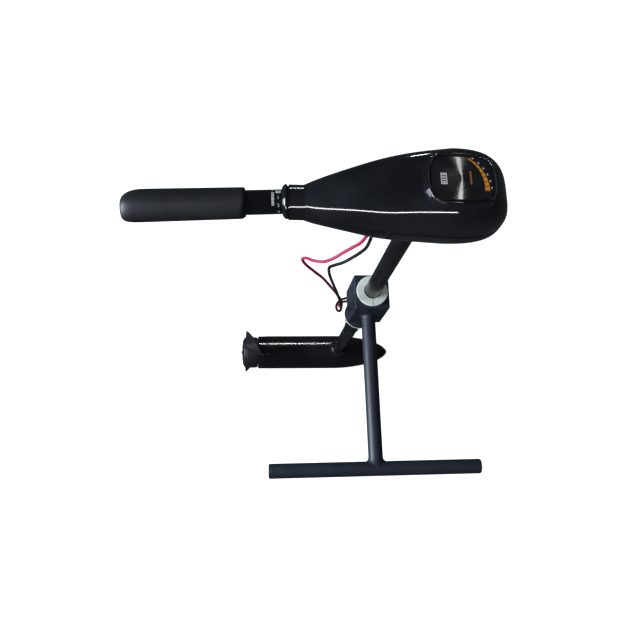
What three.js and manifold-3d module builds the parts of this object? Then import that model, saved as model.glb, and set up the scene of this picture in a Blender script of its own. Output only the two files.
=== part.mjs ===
// Electric trolling motor on a T-shaped tube bracket.
// Units are millimetres, +Z is up along the shaft, and the origin is the centre of the crossbar.
import * as THREE from "three";
import { mergeVertices } from "three/addons/utils/BufferGeometryUtils.js";
import Module from "manifold-3d";

const wasm = await Module();
wasm.setup();

// ---------------------------------------------------------------- driving dimensions
const GAP = 0.3; // clearance between neighbouring pieces

const TUBE_R = 13; // bracket tube, outside
const TUBE_BORE = 11;
const CROSSBAR_LENGTH = 378;
const CAP_FLANGE = 2.2;

const SHAFT_Y = 312; // shaft axis, measured from the crossbar
const BLOCK = 64; // square pivot block
const BLOCK_TOP = 49;
const BLOCK_BOTTOM = -46;
const BOSS_R = 29; // round boss under the block
const BOSS_BOTTOM = -98;
const BORE_R = 20.5; // bore for the bushes
const BUSH_R = 20.2;
const BUSH_FLANGE_R = 28.5;

const SHAFT_R = 14.3; // 1 1/8 inch tube
const SHAFT_BORE = 11.5;
const SHAFT_FIT = 14.6; // holes that the shaft passes
const SHAFT_BOTTOM = -383.7;
const SHAFT_TOP = 440;

const MOTOR_Z = -422; // motor axis
const MOTOR_R = 39.5;
const MOTOR_WALL_R = 35.2; // inside of the housing
const SPIGOT_R = 34.9;
const HOUSING_REAR = -172.7;
const HOUSING_FRONT = 24;
const CAP_REAR = -193;
const BOLT_CIRCLE = 30; // through bolts, from the motor axis
const ROTOR_SHAFT_R = 5;
const BEARING_R = 11;
const PROP_R = 121;

const HEAD_BOTTOM = 387;
const WALL = 2.8;
const NECK_X = -177;
const NECK_Z = 413.6;
const TILLER_DROOP = THREE.MathUtils.degToRad(5.8);
const TILLER_TUBE_R = 16;
const GRIP_START = 56; // along the tiller, from the neck's end face
const GRIP_END = 214.5;

const LEAD_R = 2.5; // battery leads

// ---------------------------------------------------------------- materials
const finish = (color, roughness, metalness) =>
  new THREE.MeshStandardMaterial({ color, roughness, metalness });
const slatePaint = finish(0x3a4350, 0.45, 0.35);
const glossBlack = finish(0x0b0d0f, 0.12, 0);
const shaftBlack = finish(0x16181b, 0.25, 0.3);
const softBlack = finish(0x2b2d2f, 0.75, 0);
const whiteNylon = finish(0xe4e3dc, 0.45, 0);
const steel = finish(0xb9bdc2, 0.3, 1);
const lamination = finish(0x6c6f73, 0.5, 0.9);
const copper = finish(0xb66a3c, 0.35, 1);
const ferrite = finish(0x35363a, 0.7, 0.2);
const carbon = finish(0x26272a, 0.6, 0.1);
const nitrile = finish(0x151515, 0.6, 0);
const redFibre = finish(0xb3202a, 0.6, 0);
const redCable = finish(0xd81f3f, 0.4, 0);
const blackCable = finish(0x101010, 0.4, 0);
const boardGreen = finish(0x1f5a3a, 0.5, 0);
const darkWindow = finish(0x14181c, 0.08, 0);

// ---------------------------------------------------------------- helpers
// A geometry with merged corners, no empty triangles, and its faces pointing out.
function closed(geometry) {
  const bare = geometry.clone();
  bare.deleteAttribute("normal");
  bare.deleteAttribute("uv");
  const merged = mergeVertices(bare, 1e-3);
  const p = merged.attributes.position;
  const old = merged.index.array;
  const corner = [0, 1, 2].map(() => new THREE.Vector3());
  const kept = [];
  let volume = 0;
  for (let i = 0; i < old.length; i += 3) {
    const [a, b, c] = [old[i], old[i + 1], old[i + 2]];
    if (a === b || b === c || c === a) continue;
    [a, b, c].forEach((v, k) => corner[k].fromBufferAttribute(p, v));
    volume += corner[0].dot(corner[1].cross(corner[2]));
    kept.push(a, b, c);
  }
  if (volume < 0) kept.reverse();
  merged.setIndex(kept);
  return merged;
}

function solid(geometry) {
  const merged = closed(geometry);
  const mesh = new wasm.Mesh({
    numProp: 3,
    vertProperties: new Float32Array(merged.attributes.position.array),
    triVerts: new Uint32Array(merged.index.array),
  });
  return new wasm.Manifold(mesh);
}

function surface(manifold) {
  const mesh = manifold.getMesh();
  const geometry = new THREE.BufferGeometry();
  geometry.setAttribute("position", new THREE.BufferAttribute(mesh.vertProperties, 3));
  geometry.setIndex(new THREE.BufferAttribute(mesh.triVerts, 1));
  return geometry;
}

const join = (...shapes) => surface(shapes.map(solid).reduce((a, b) => a.add(b)));
const cut = (shape, ...tools) =>
  surface(tools.map(solid).reduce((a, b) => a.subtract(b), solid(shape)));
const common = (a, b) => surface(solid(a).intersect(solid(b)));

// A turned piece about Z from [radius, height] points. A profile off the axis closes on itself.
function turned(profile, sides = 24) {
  const points = profile.map(([r, z]) => new THREE.Vector2(r, z));
  const onAxis = profile[0][0] === 0 && profile.at(-1)[0] === 0;
  if (!onAxis) points.push(points[0].clone());
  return closed(new THREE.LatheGeometry(points, sides).rotateX(Math.PI / 2));
}

const ring = (inner, outer, low, high, sides) =>
  turned([[inner, low], [outer, low], [outer, high], [inner, high]], sides);
const rod = (r, low, high, sides) => turned([[0, low], [r, low], [r, high], [0, high]], sides);
const box = (x, y, z, cx = 0, cy = 0, cz = 0) => new THREE.BoxGeometry(x, y, z).translate(cx, cy, cz);

// A flat outline in X and Y, raised from low to high.
function raised(shape, low, high, curveSegments = 6) {
  const options = { depth: high - low, bevelEnabled: false, curveSegments };
  return closed(new THREE.ExtrudeGeometry(shape, options).translate(0, 0, low));
}

function roundedRectangle(width, height, radius) {
  const [x, y] = [width / 2, height / 2];
  const shape = new THREE.Shape();
  shape.moveTo(-x + radius, -y);
  shape.lineTo(x - radius, -y);
  shape.absarc(x - radius, -y + radius, radius, -Math.PI / 2, 0);
  shape.lineTo(x, y - radius);
  shape.absarc(x - radius, y - radius, radius, 0, Math.PI / 2);
  shape.lineTo(-x + radius, y);
  shape.absarc(-x + radius, y - radius, radius, Math.PI / 2, Math.PI);
  shape.lineTo(-x, -y + radius);
  shape.absarc(-x + radius, -y + radius, radius, Math.PI, Math.PI * 1.5);
  return shape;
}

// A skin through closed rings of points, with a flat cap at each end.
function loft(rings) {
  const n = rings[0].length;
  const last = (rings.length - 1) * n;
  const index = [];
  for (let i = 0; i < rings.length - 1; i++) {
    for (let j = 0; j < n; j++) {
      const [a, b] = [i * n + j, i * n + ((j + 1) % n)];
      index.push(a, b, b + n, a, b + n, a + n);
    }
  }
  for (let j = 1; j < n - 1; j++) {
    index.push(0, j + 1, j);
    index.push(last, last + j, last + j + 1);
  }
  const geometry = new THREE.BufferGeometry().setFromPoints(rings.flat());
  geometry.setIndex(index);
  return closed(geometry);
}

// A round tube along a smooth curve through the points.
function cable(points, radius, steps) {
  const path = new THREE.CatmullRomCurve3(points.map((p) => new THREE.Vector3(...p)), false, "centripetal");
  const section = new THREE.Shape();
  section.absarc(0, 0, radius, 0, 2 * Math.PI);
  const options = { steps, extrudePath: path, curveSegments: 4, bevelEnabled: false };
  return closed(new THREE.ExtrudeGeometry(section, options));
}

const model = new THREE.Group();
function part(name, geometry, material, parent = model) {
  const mesh = new THREE.Mesh(geometry, material);
  mesh.name = name;
  parent.add(mesh);
  return mesh;
}

function group(x, y, z) {
  const made = new THREE.Group();
  made.position.set(x, y, z);
  model.add(made);
  return made;
}

// ---------------------------------------------------------------- bracket
function buildCrossbar() {
  const end = CROSSBAR_LENGTH / 2 - CAP_FLANGE - GAP;
  part("crossbar", ring(TUBE_BORE, TUBE_R, -end, end).rotateY(Math.PI / 2), slatePaint);
  const plug = [
    [0, end - 11],
    [TUBE_BORE - GAP, end - 11],
    [TUBE_BORE - GAP, end + GAP],
    [TUBE_R, end + GAP],
    [TUBE_R, end + GAP + CAP_FLANGE],
    [0, end + GAP + CAP_FLANGE],
  ];
  part("crossbar_cap_right", turned(plug, 20).rotateY(Math.PI / 2), softBlack);
  part("crossbar_cap_left", turned(plug, 20).rotateY(-Math.PI / 2), softBlack);
}

// The stem is coped to fit the crossbar, with a weld fillet at both ends.
function buildStem() {
  const front = SHAFT_Y - BLOCK / 2 - GAP;
  const profile = [
    [TUBE_BORE, 6],
    [TUBE_R + 6, 6],
    [TUBE_R + 5, 13],
    [TUBE_R, 20],
    [TUBE_R, front - 5],
    [TUBE_R + 4, front],
    [TUBE_BORE, front],
  ];
  const tube = turned(profile).rotateX(-Math.PI / 2);
  const crossbar = rod(TUBE_R + GAP, -40, 40).rotateY(Math.PI / 2);
  part("bracket_stem", cut(tube, crossbar), slatePaint);
}

function buildBlock(at) {
  const square = raised(roundedRectangle(BLOCK, BLOCK, 3), BLOCK_BOTTOM, BLOCK_TOP, 3);
  const boss = turned(
    [[0, BOSS_BOTTOM], [BOSS_R - 1.5, BOSS_BOTTOM], [BOSS_R, BOSS_BOTTOM + 1.5], [BOSS_R, 0], [0, 0]],
    28,
  );
  const bore = rod(BORE_R, BOSS_BOTTOM - 5, BLOCK_TOP + 5, 32);
  part("pivot_block", cut(join(square, boss), bore), slatePaint, at);
}

// Split flanged sleeves: they grip the shaft and turn in the block.
function buildBushes(at) {
  const slot = box(1.2, 20, 200, 0, -22, 0);
  const bush = (face, flange, depth, away) =>
    [
      [SHAFT_FIT, face - away * depth],
      [BUSH_R, face - away * depth],
      [BUSH_R, face],
      [BUSH_FLANGE_R, face],
      [BUSH_FLANGE_R, face + away * flange * 0.75],
      [BUSH_FLANGE_R - 1.2, face + away * flange],
      [SHAFT_FIT, face + away * flange],
    ];
  part("upper_bush", cut(turned(bush(BLOCK_TOP + GAP, 5.2, 45, 1), 32), slot), whiteNylon, at);
  part("lower_bush", cut(turned(bush(BOSS_BOTTOM - GAP, 3, 40, -1), 32), slot), whiteNylon, at);
}

// ---------------------------------------------------------------- motor, turned about its own axis
// Each profile is [radius, X], and the group turns +Z to +X. Up is the group's -X.
const NOSE = [
  [39.1, 10],
  [38, 24],
  [36.8, 35],
  [35, 47],
  [33, 59],
  [30.5, 70],
  [27.2, 82],
  [23.2, 94],
  [18.5, 105],
  [13, 114],
  [8.5, 119],
  [4.5, 122.5],
  [0, 124],
];

const acrossBolts = (make) => [1, -1].map((side) => make(side).translate(0, side * BOLT_CIRCLE, 0));

function buildHousing(at) {
  const wall = [[MOTOR_R, HOUSING_REAR], [MOTOR_R, -5], NOSE[0], NOSE[1]];
  const body = turned([[0, HOUSING_REAR], ...wall, [0, HOUSING_FRONT]], 28);
  const beads = [[19, 42], [21.5, 43.5], [21.5, 46.5], [19, 48], [20.5, 50], [20.5, 53], [18.5, 55]];
  const socket = turned([[0, 25], [20, 25], ...beads, [0, 55]], 28).rotateY(-Math.PI / 2);
  const inside = rod(MOTOR_WALL_R, HOUSING_REAR - 5, HOUSING_FRONT + 5, 28);
  const pocket = rod(SHAFT_FIT, 38, 60, 28).rotateY(-Math.PI / 2);
  const wireHole = rod(9, 20, 45, 16).rotateY(-Math.PI / 2);
  part("motor_housing", cut(join(body, socket), inside, pocket, wireHole), glossBlack, at);
}

function buildEndCap(at) {
  const profile = [
    [12, CAP_REAR],
    [37.5, CAP_REAR],
    [MOTOR_R, CAP_REAR + 2.5],
    [MOTOR_R, HOUSING_REAR - GAP],
    [SPIGOT_R, HOUSING_REAR - GAP],
    [SPIGOT_R, -171],
    [33.3, -171],
    [33.3, -168.5],
    [SPIGOT_R, -168.5],
    [SPIGOT_R, -165],
    [BEARING_R + GAP, -165],
    [BEARING_R + GAP, -175],
    [6, -175],
    [6, -185],
    [12, -185],
  ];
  const holes = acrossBolts(() => rod(2.4, -200, -160, 12));
  const recesses = acrossBolts(() => rod(4.5, -200, -188, 12));
  part("motor_end_cap", cut(turned(profile, 28), ...holes, ...recesses), glossBlack, at);
}

function buildNose(at) {
  const front = HOUSING_FRONT + GAP;
  const profile = [
    ...NOSE.slice(1).map(([r, x]) => [r, Math.max(x, front)]).reverse(),
    [SPIGOT_R, front],
    [SPIGOT_R, 21.5],
    [33.3, 21.5],
    [33.3, 19],
    [SPIGOT_R, 19],
    [SPIGOT_R, 16.5],
    [24, 16.5],
    [24, 45],
    [17, 78],
    [8, 100],
    [0, 104],
  ];
  const holes = acrossBolts(() => rod(2.4, 10, 32, 12));
  part("nose_cone", cut(turned(profile, 28), ...holes), glossBlack, at);
}

function buildStator(at) {
  part("flux_ring", ring(33, SPIGOT_R, -158, -50, 28), steel, at);
  const halfArc = THREE.MathUtils.degToRad(58);
  const arc = new THREE.Shape();
  arc.absarc(0, 0, 32.7, -halfArc, halfArc);
  arc.absarc(0, 0, 26.6, halfArc, -halfArc, true);
  const magnet = raised(arc, -152, -58, 12);
  part("magnet_lower", magnet, ferrite, at);
  part("magnet_upper", magnet.clone().rotateZ(Math.PI), ferrite, at);
}

function buildRotor(at) {
  const r = ROTOR_SHAFT_R;
  const spindle = [[0, -233], [4, -233], [4, -223], [r, -223], [r, -8], [0, -8]];
  const pinHole = rod(2.6, -10, 10, 10).rotateX(Math.PI / 2).translate(0, 0, -200.4);
  part("rotor_shaft", cut(turned(spindle, 16), pinHole), steel, at);
  const slots = 12;
  const outline = [];
  const tooth = [[25.8, 0.07], [25.8, 0.43], [23.6, 0.43], [23.6, 0.36], [16, 0.36]];
  for (let k = 0; k < slots; k++) {
    for (const [radius, share] of tooth) {
      const angle = ((k + share * 2) / slots) * 2 * Math.PI;
      const [x, y] = [radius * Math.cos(angle), radius * Math.sin(angle)];
      outline.push(new THREE.Vector2(x, y));
    }
  }
  const core = new THREE.Shape(outline);
  const hole = new THREE.Path();
  hole.absarc(0, 0, r + GAP, 0, 2 * Math.PI);
  core.holes.push(hole);
  part("armature_core", raised(core, -148, -62, 8), lamination, at);
  const bundle = (low, high) =>
    turned([[8, low], [19, low], [22, low + 3], [22, high - 3], [19, high], [8, high]], 20);
  part("winding_rear", bundle(-160, -148.3), copper, at);
  part("winding_front", bundle(-61.7, -50), copper, at);
  const bars = [[r + GAP, -46], [14, -46], [14, -43], [12, -43], [12, -24], [r + GAP, -24]];
  part("commutator", turned(bars, 24), copper, at);
}

function buildBearings(at) {
  const race = (low) =>
    turned(
      [[5.3, low], [7.6, low], [7.6, low + 0.6], [9, low + 0.6], [9, low], [BEARING_R, low],
        [BEARING_R, low + 7], [5.3, low + 7]],
      20,
    );
  part("rear_bearing", race(-174.5), steel, at);
  part("front_bearing", race(-17), steel, at);
  part("shaft_seal", ring(5.3, 11.7, -191.5, -185.5, 20), nitrile, at);
  part("rear_o_ring", ring(33.6, SPIGOT_R, -170.7, -168.8, 24), nitrile, at);
  part("front_o_ring", ring(33.6, SPIGOT_R, 19.3, 21.2, 24), nitrile, at);
  const seat = BEARING_R + GAP;
  const stepped = [[6.5, -9], [6.5, -9.8], [seat, -9.8], [seat, -19]];
  const plate = turned([...stepped, [SPIGOT_R, -19], [SPIGOT_R, -9]], 24);
  const wires = rod(4.5, -30, 0, 12).translate(-18, 14, 0);
  part("front_bearing_plate", cut(plate, wires, ...acrossBolts(() => rod(2.4, -30, 0, 12))), lamination, at);
}

// The brush plate carries two open brass-coloured boxes, and each brush slides in one on a spring.
function buildBrushes(at) {
  const plate = ring(14.5, 34.5, -30.5, -28, 24);
  const walls = [1, -1].flatMap((side) => [
    box(19, 1.5, 9, side * 24, 5.2, -34.8),
    box(19, 1.5, 9, side * 24, -5.2, -34.8),
    box(1.5, 11.9, 9, side * 33.2, 0, -34.8),
  ]);
  const holes = acrossBolts(() => rod(2.4, -40, -20, 12));
  const notch = box(8, 9, 10, -18, 15, -29);
  part("brush_plate", cut(join(plate, ...walls), ...holes, notch), carbon, at);
  for (const [side, name] of [[-1, "upper"], [1, "lower"]]) {
    part(`brush_${name}`, box(11.6, 8.2, 7.6, side * 18.2, 0, -34.9), carbon, at);
    const turns = 3;
    const steps = 10 * turns;
    const coil = Array.from({ length: steps + 1 }, (_, i) => {
      const angle = (i / 10) * 2 * Math.PI;
      return [side * (24.9 + (i / steps) * 6.6), 2.6 * Math.cos(angle), -34.9 + 2.6 * Math.sin(angle)];
    });
    part(`brush_spring_${name}`, cable(coil, 0.5, steps), steel, at);
  }
}

function buildThroughBolts(at) {
  for (const [side, name] of [[1, "left"], [-1, "right"]]) {
    const bolt = turned([[0, -192], [4, -192], [4, -188.4], [2, -188.4], [2, 31], [0, 31]], 12);
    part(`through_bolt_${name}`, bolt.translate(0, side * BOLT_CIRCLE, 0), steel, at);
  }
}

// ---------------------------------------------------------------- propeller
// One blade section: a thin lens of the given chord, pitched about the blade's own radius.
// The centre is its place along the motor, so the blade rakes forward towards the tip.
function bladeSection([radius, chord, pitch, thickness, centre]) {
  const angle = THREE.MathUtils.degToRad(pitch);
  const around = [-1, -0.6, 0, 0.6];
  const upper = around.map((s) => [s, 1]);
  const lower = around.map((s) => [-s, -1]);
  return [...upper, ...lower].map(([s, face]) => {
    const along = (s * chord) / 2;
    const thick = face * (0.25 + 0.75 * (1 - s * s)) * (thickness / 2);
    const x = -along * Math.sin(angle) + thick * Math.cos(angle);
    const y = along * Math.cos(angle) + thick * Math.sin(angle);
    return new THREE.Vector3(-radius, y, x + centre);
  });
}

function buildPropeller(at) {
  const hub = turned(
    [[5.4, -197], [11, -197], [11, -214], [33.5, -214], [34.4, -194.2], [36.6, -194.2], [37.3, -204],
      [37, -218], [35.2, -226], [28, -229.5], [14, -231], [12, -229], [12, -223.5], [5.4, -223.5]],
    28,
  );
  const stations = [
    [35, 33, 44, 6, -212],
    [50, 45, 38, 5, -211],
    [70, 56, 35, 4, -207.5],
    [90, 64, 33, 3.2, -205.5],
    [106, 60, 32.5, 2.6, -205],
    [116, 44, 32, 2.2, -205],
    [PROP_R, 26, 31, 1.8, -205],
  ];
  const blade = loft(stations.map(bladeSection));
  const slot = box(36.4, 5.4, 8, 0, 0, -199).rotateZ(Math.PI / 2);
  const shape = cut(join(hub, blade, blade.clone().rotateZ(Math.PI)), slot);
  part("propeller", shape, glossBlack, at);
  part("drive_pin", rod(2.3, -16, 16, 10).rotateX(Math.PI / 2).translate(0, 0, -200.4), steel, at);
  const across = 13 / Math.cos(Math.PI / 6) / 2;
  const nut = cut(rod(across, -231, -224, 6), rod(4.3, -235, -220, 16));
  part("prop_nut", nut, steel, at);
  part("thrust_washer", ring(5.3, 13, -196.6, -193.6, 20), redFibre, at);
}

// ---------------------------------------------------------------- head
// Stations along the head: [X, half width, bottom, top, squareness of the section].
const HEAD_STATIONS = [
  [NECK_X, 23, 391, 437, 2],
  [-158, 23, 391, 437, 2],
  [-147, 26.6, 390.5, 441, 2.2],
  [-134, 30.3, 390, 447, 2.4],
  [-100, 38.5, 388, 461, 2.9],
  [-60, 46.9, HEAD_BOTTOM, 473, 3.4],
  [-20, 51.2, HEAD_BOTTOM, 487, 3.6],
];
const HEAD_FULL = { x: 24, half: 54.9, top: 493.8, square: 3.6 };
const HEAD_END = { x: 108.5, z: 404, plan: 2.83, side: 2.4 };
const PANEL_Y = -3.5; // the display sits a little towards the bracket side

// The rounded end closes as a superellipse in plan and in side view.
function headStations() {
  const made = HEAD_STATIONS.map((s) => [...s]);
  for (const share of [0, 0.4, 0.66, 0.84, 0.95, 1]) {
    const width = Math.max((1 - share ** HEAD_END.plan) ** (1 / HEAD_END.plan), 0.06);
    const height = Math.max((1 - share ** HEAD_END.side) ** (1 / HEAD_END.side), 0.06);
    made.push([
      HEAD_FULL.x + (HEAD_END.x - HEAD_FULL.x) * share,
      HEAD_FULL.half * width,
      HEAD_END.z + (HEAD_BOTTOM - HEAD_END.z) * height,
      HEAD_END.z + (HEAD_FULL.top - HEAD_END.z) * height,
      HEAD_FULL.square,
    ]);
  }
  return made;
}

// A squared ring about a mid height that lies nearer the bottom than the top.
function headRing([x, half, low, high, square], inset, sides = 20) {
  const middle = low + 0.42 * (high - low);
  return Array.from({ length: sides }, (_, j) => {
    const angle = (j / sides) * 2 * Math.PI;
    const [c, s] = [Math.cos(angle), Math.sin(angle)];
    const across = Math.sign(c) * Math.abs(c) ** (2 / square);
    const up = Math.sign(s) * Math.abs(s) ** (2 / square);
    const reach = up > 0 ? high - middle - inset : middle - low - inset;
    return new THREE.Vector3(x, Math.max(half - inset, 1) * across, middle + Math.max(reach, 1) * up);
  });
}

// A slab on one side of the parting plane, which rises slightly towards the rounded end.
function halfSpace(side) {
  const height = 200;
  const slab = box(400, 200, height, 0, 0, side * (height / 2 + GAP / 2));
  return slab.rotateY(-0.1).translate(-30, 0, 428);
}

// The display opening: a rounded panel with tapered sides and a bowed inner end.
function panelOutline(inset) {
  const shape = new THREE.Shape();
  const [low, high] = [PANEL_Y - 34 + inset, PANEL_Y + 34 - inset];
  const [inner, outer] = [-15 + inset, 71 - inset];
  shape.moveTo(2, low);
  shape.lineTo(50, low + 1);
  shape.quadraticCurveTo(outer, low + 3, outer, low + 13);
  shape.quadraticCurveTo(outer + 2, PANEL_Y, outer, high - 13);
  shape.quadraticCurveTo(outer, high - 3, 50, high - 1);
  shape.lineTo(2, high);
  shape.quadraticCurveTo(inner + 3, high - 6, inner, PANEL_Y);
  shape.quadraticCurveTo(inner + 3, low + 6, 2, low);
  return shape;
}

function tillerTransform(geometry) {
  return geometry.rotateY(-Math.PI / 2 - TILLER_DROOP).translate(NECK_X, 0, NECK_Z);
}

const SCREW_PLACES = [82, -102];
const LEAD_EXIT = [-63, -20];

function buildHeadShells(at) {
  const stations = headStations();
  const outer = loft(stations.map((s) => headRing(s, 0)));
  const hollow = stations.slice(1).map((s) => [Math.min(s[0], HEAD_END.x - WALL), ...s.slice(1)]);
  const cavity = loft(hollow.slice(0, -1).map((s) => headRing(s, WALL)));
  const bore = tillerTransform(rod(12.4, -30, 10, 20));
  const shell = cut(outer, cavity, bore);
  const posts = SCREW_PLACES.map((x) => rod(5.5, HEAD_BOTTOM - 10, 520, 12).translate(x, 0, 0));
  const insidePosts = common(outer, join(...posts));
  const whole = join(shell, insidePosts);
  const screwHoles = SCREW_PLACES.map((x) => rod(2.3, 300, 452, 12).translate(x, 0, 0));
  const heads = SCREW_PLACES.map((x) => rod(4.4, 300, 393, 12).translate(x, 0, 0));
  const window = raised(panelOutline(-GAP), 460, 520, 5);
  const socket = ring(SHAFT_FIT, 21, HEAD_BOTTOM + 1, 420, 28);
  const shaftHole = rod(SHAFT_FIT, 300, 425, 28);
  const leadHole = rod(9.1, 370, 400, 16).translate(...LEAD_EXIT, 0);
  const lower = common(whole, halfSpace(-1));
  part("head_base", cut(join(lower, socket), shaftHole, leadHole, ...screwHoles, ...heads), glossBlack, at);
  part("head_cover", cut(common(whole, halfSpace(1)), window, ...screwHoles), glossBlack, at);
  const screw = turned([[0, 389], [4, 389], [4, 392.6], [2, 392.6], [2, 445], [0, 445]], 12);
  SCREW_PLACES.forEach((x, i) => part(`head_screw_${i + 1}`, screw.clone().translate(x, 0, 0), steel, at));
}

function buildDisplay(at) {
  const frame = cut(raised(panelOutline(0), 474, 498, 6), raised(panelOutline(5), 470, 500, 6));
  part("display_bezel", frame, glossBlack, at);
  part("display_window", raised(panelOutline(5 + GAP), 493, 496, 6), darkWindow, at);
  part("display_board", box(56, 42, 1.6, 28, PANEL_Y, 482), boardGreen, at);
}

function buildHeadInsides(at) {
  part("control_board", box(54, 48, 1.6, -64, 4, 408), boardGreen, at);
  const clamp = cut(ring(SHAFT_FIT, 21, 421, 433, 28), box(3, 20, 30, 0, 20, 427));
  const boltHole = rod(2.3, -30, 30, 10).rotateY(Math.PI / 2).translate(0, 17.6, 427);
  const headSeat = rod(4.2, 11.5, 30, 12).rotateY(Math.PI / 2).translate(0, 17.6, 427);
  part("shaft_clamp", cut(clamp, boltHole, headSeat), steel, at);
  const bolt = turned([[0, -13], [2, -13], [2, 11.8], [3.6, 11.8], [3.6, 15.4], [0, 15.4]], 12);
  part("clamp_bolt", bolt.rotateY(Math.PI / 2).translate(0, 17.6, 427), steel, at);
  const relief = turned([[5.7, 378], [7.2, 378], [8.8, 385.5], [8.8, 391], [5.7, 391]], 16);
  part("lead_grommet", relief.translate(...LEAD_EXIT, 0), nitrile, at);
}

// ---------------------------------------------------------------- tiller, along its own axis
function buildTiller(at) {
  const axis = new THREE.Group();
  axis.position.set(NECK_X, 0, NECK_Z);
  axis.rotation.y = -Math.PI / 2 - TILLER_DROOP;
  at.add(axis);
  const bell = [[21.8, 2.6], [22.5, 3.6], [21.6, 5.6], [19.4, 7.6], [16.8, 8.6]];
  part("tiller_collar", turned([[12.5, 2.6], ...bell, [12.5, 8.6]], 24), glossBlack, axis);
  const outside = [[12, -14], [12, 9], [TILLER_TUBE_R, 9], [TILLER_TUBE_R, 200]];
  const tube = [[4.4, -14], ...outside, [13, 200], [13, 14], [4.4, 14]];
  part("tiller_tube", turned(tube, 28), glossBlack, axis);
  const mouth = [[GRIP_START, 38.5], [GRIP_START + 3, 40.5]];
  const sizes = [...mouth, [203, 43.6], [209.5, 41], [213, 36], [GRIP_END, 28]];
  const rings = sizes.map(([z, size]) => gripRing(size / 2, z));
  const bore = rod(TILLER_TUBE_R + 0.4, GRIP_START - 5, 206, 28);
  part("tiller_grip", cut(loft(rings), bore), softBlack, axis);
  part("switch_body", cut(rod(15, -62, -36, 20), rod(4.4, -70, -30, 12)), carbon, axis);
  part("switch_shaft", turned([[0, -58], [4, -58], [4, 12], [0, 12]], 12), steel, axis);
}

// The grip's section is a circle pressed towards a rounded square.
function gripRing(half, z) {
  const sides = 24;
  const square = 2.6;
  return Array.from({ length: sides }, (_, j) => {
    const angle = (j / sides) * 2 * Math.PI;
    const [c, s] = [Math.cos(angle), Math.sin(angle)];
    const reach = half / (Math.abs(c) ** square + Math.abs(s) ** square) ** (1 / square);
    return new THREE.Vector3(reach * c, reach * s, z);
  });
}

// ---------------------------------------------------------------- cables, in the frame of the shaft
const MOTOR_CABLE = [
  [-27, 15, -404],
  [-20, 14, -404],
  [-8, 13.5, -404],
  [-2.5, 9.5, -402],
  [0, 3, -396],
  [0, 0, -384],
  [0, 0, -360],
  [0, 0, 0],
  [0, 0, 420],
  [-1, 0, 446],
  [-14, 0, 460],
  [-28, 0, 452],
  [-34, 0, 436],
  [-40, 0, 420],
  [-42, 0, 412],
];

const RED_ROUTE = [
  [-65.7, -20, 389],
  [-65.7, -20, 374],
  [-66, -22, 357],
  [-72, -25, 338],
  [-80, -25, 322],
  [-91, -26, 304],
  [-104, -28, 284],
  [-116, -26, 266],
  [-129, -18, 250],
  [-138, -8, 234],
  [-142, -3, 216],
  [-135, -4, 196],
  [-120, -6, 172],
  [-101, -8, 142],
  [-84, -11, 108],
  [-68, -13, 72],
  [-55, -14, 36],
  [-50, -14, 0],
  [-48, -2, -36],
  [-43, 12, -66],
  [-30, 24, -88],
  [-12, 29, -104],
  [0.5, 26.5, -119],
  [3, 24.5, -133],
];

const BLACK_ROUTE = [
  [-60.3, -20, 389],
  [-60.3, -20, 374],
  [-60.6, -26, 356],
  [-64, -32, 339],
  [-71, -34, 322],
  [-80, -35, 305],
  [-90, -35, 286],
  [-99, -32, 268],
  [-104, -28, 248],
  [-102, -27, 226],
  [-96, -27, 198],
  [-86, -26, 160],
  [-73, -26, 112],
  [-61, -27, 64],
  [-55, -26, 32],
  [-53, -22, 0],
  [-52, -8, -40],
  [-48, 12, -72],
  [-36, 29.5, -94],
  [-18, 38.5, -109],
  [-4, 40.5, -120],
  [3, 40, -133],
];

const HANK_FOLD = 15;
const HANK_RUN = [-216, -136];
const HANK_THICK = 15;

// The outer shape of a folded bundle: a round-ended bar standing in X and Z.
function hank(centreX, lowY) {
  const reach = HANK_FOLD + LEAD_R;
  const [low, high] = HANK_RUN;
  const outline = new THREE.Shape();
  outline.absarc(centreX, high, reach, 0, Math.PI);
  outline.absarc(centreX, low, reach, Math.PI, 2 * Math.PI);
  return raised(outline, 0, HANK_THICK, 8).rotateX(Math.PI / 2).translate(0, lowY + HANK_THICK, 0);
}

// A crimped ring terminal hanging from the end of a lead.
function terminal(x, y, top) {
  const barrel = rod(3.1, -14, 0, 12);
  const tongue = new THREE.Shape();
  tongue.absarc(0, -27, 6.5, -Math.PI * 1.35, Math.PI * 0.35);
  tongue.lineTo(2.8, -10);
  tongue.lineTo(-2.8, -10);
  const eye = new THREE.Path();
  eye.absarc(0, -27, 4.1, 0, 2 * Math.PI);
  tongue.holes.push(eye);
  const plate = raised(tongue, -0.8, 0.8, 8).rotateX(Math.PI / 2);
  return join(barrel, plate).translate(x, y, top);
}

// The belt round a set of rollers listed anticlockwise, each [x, y, radius].
function beltOutline(rollers) {
  const outline = new THREE.Shape();
  rollers.forEach(([x, y, r], i) => {
    const before = rollers.at(i - 1);
    const after = rollers[(i + 1) % rollers.length];
    const leave = ([ax, ay, ar], [bx, by, br]) => {
      const along = Math.atan2(by - ay, bx - ax);
      return along - Math.acos((ar - br) / Math.hypot(bx - ax, by - ay));
    };
    const [start, end] = [leave(before, [x, y, r]), leave([x, y, r], after)];
    outline.absarc(x, y, r, start, end);
  });
  return outline;
}

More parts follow.
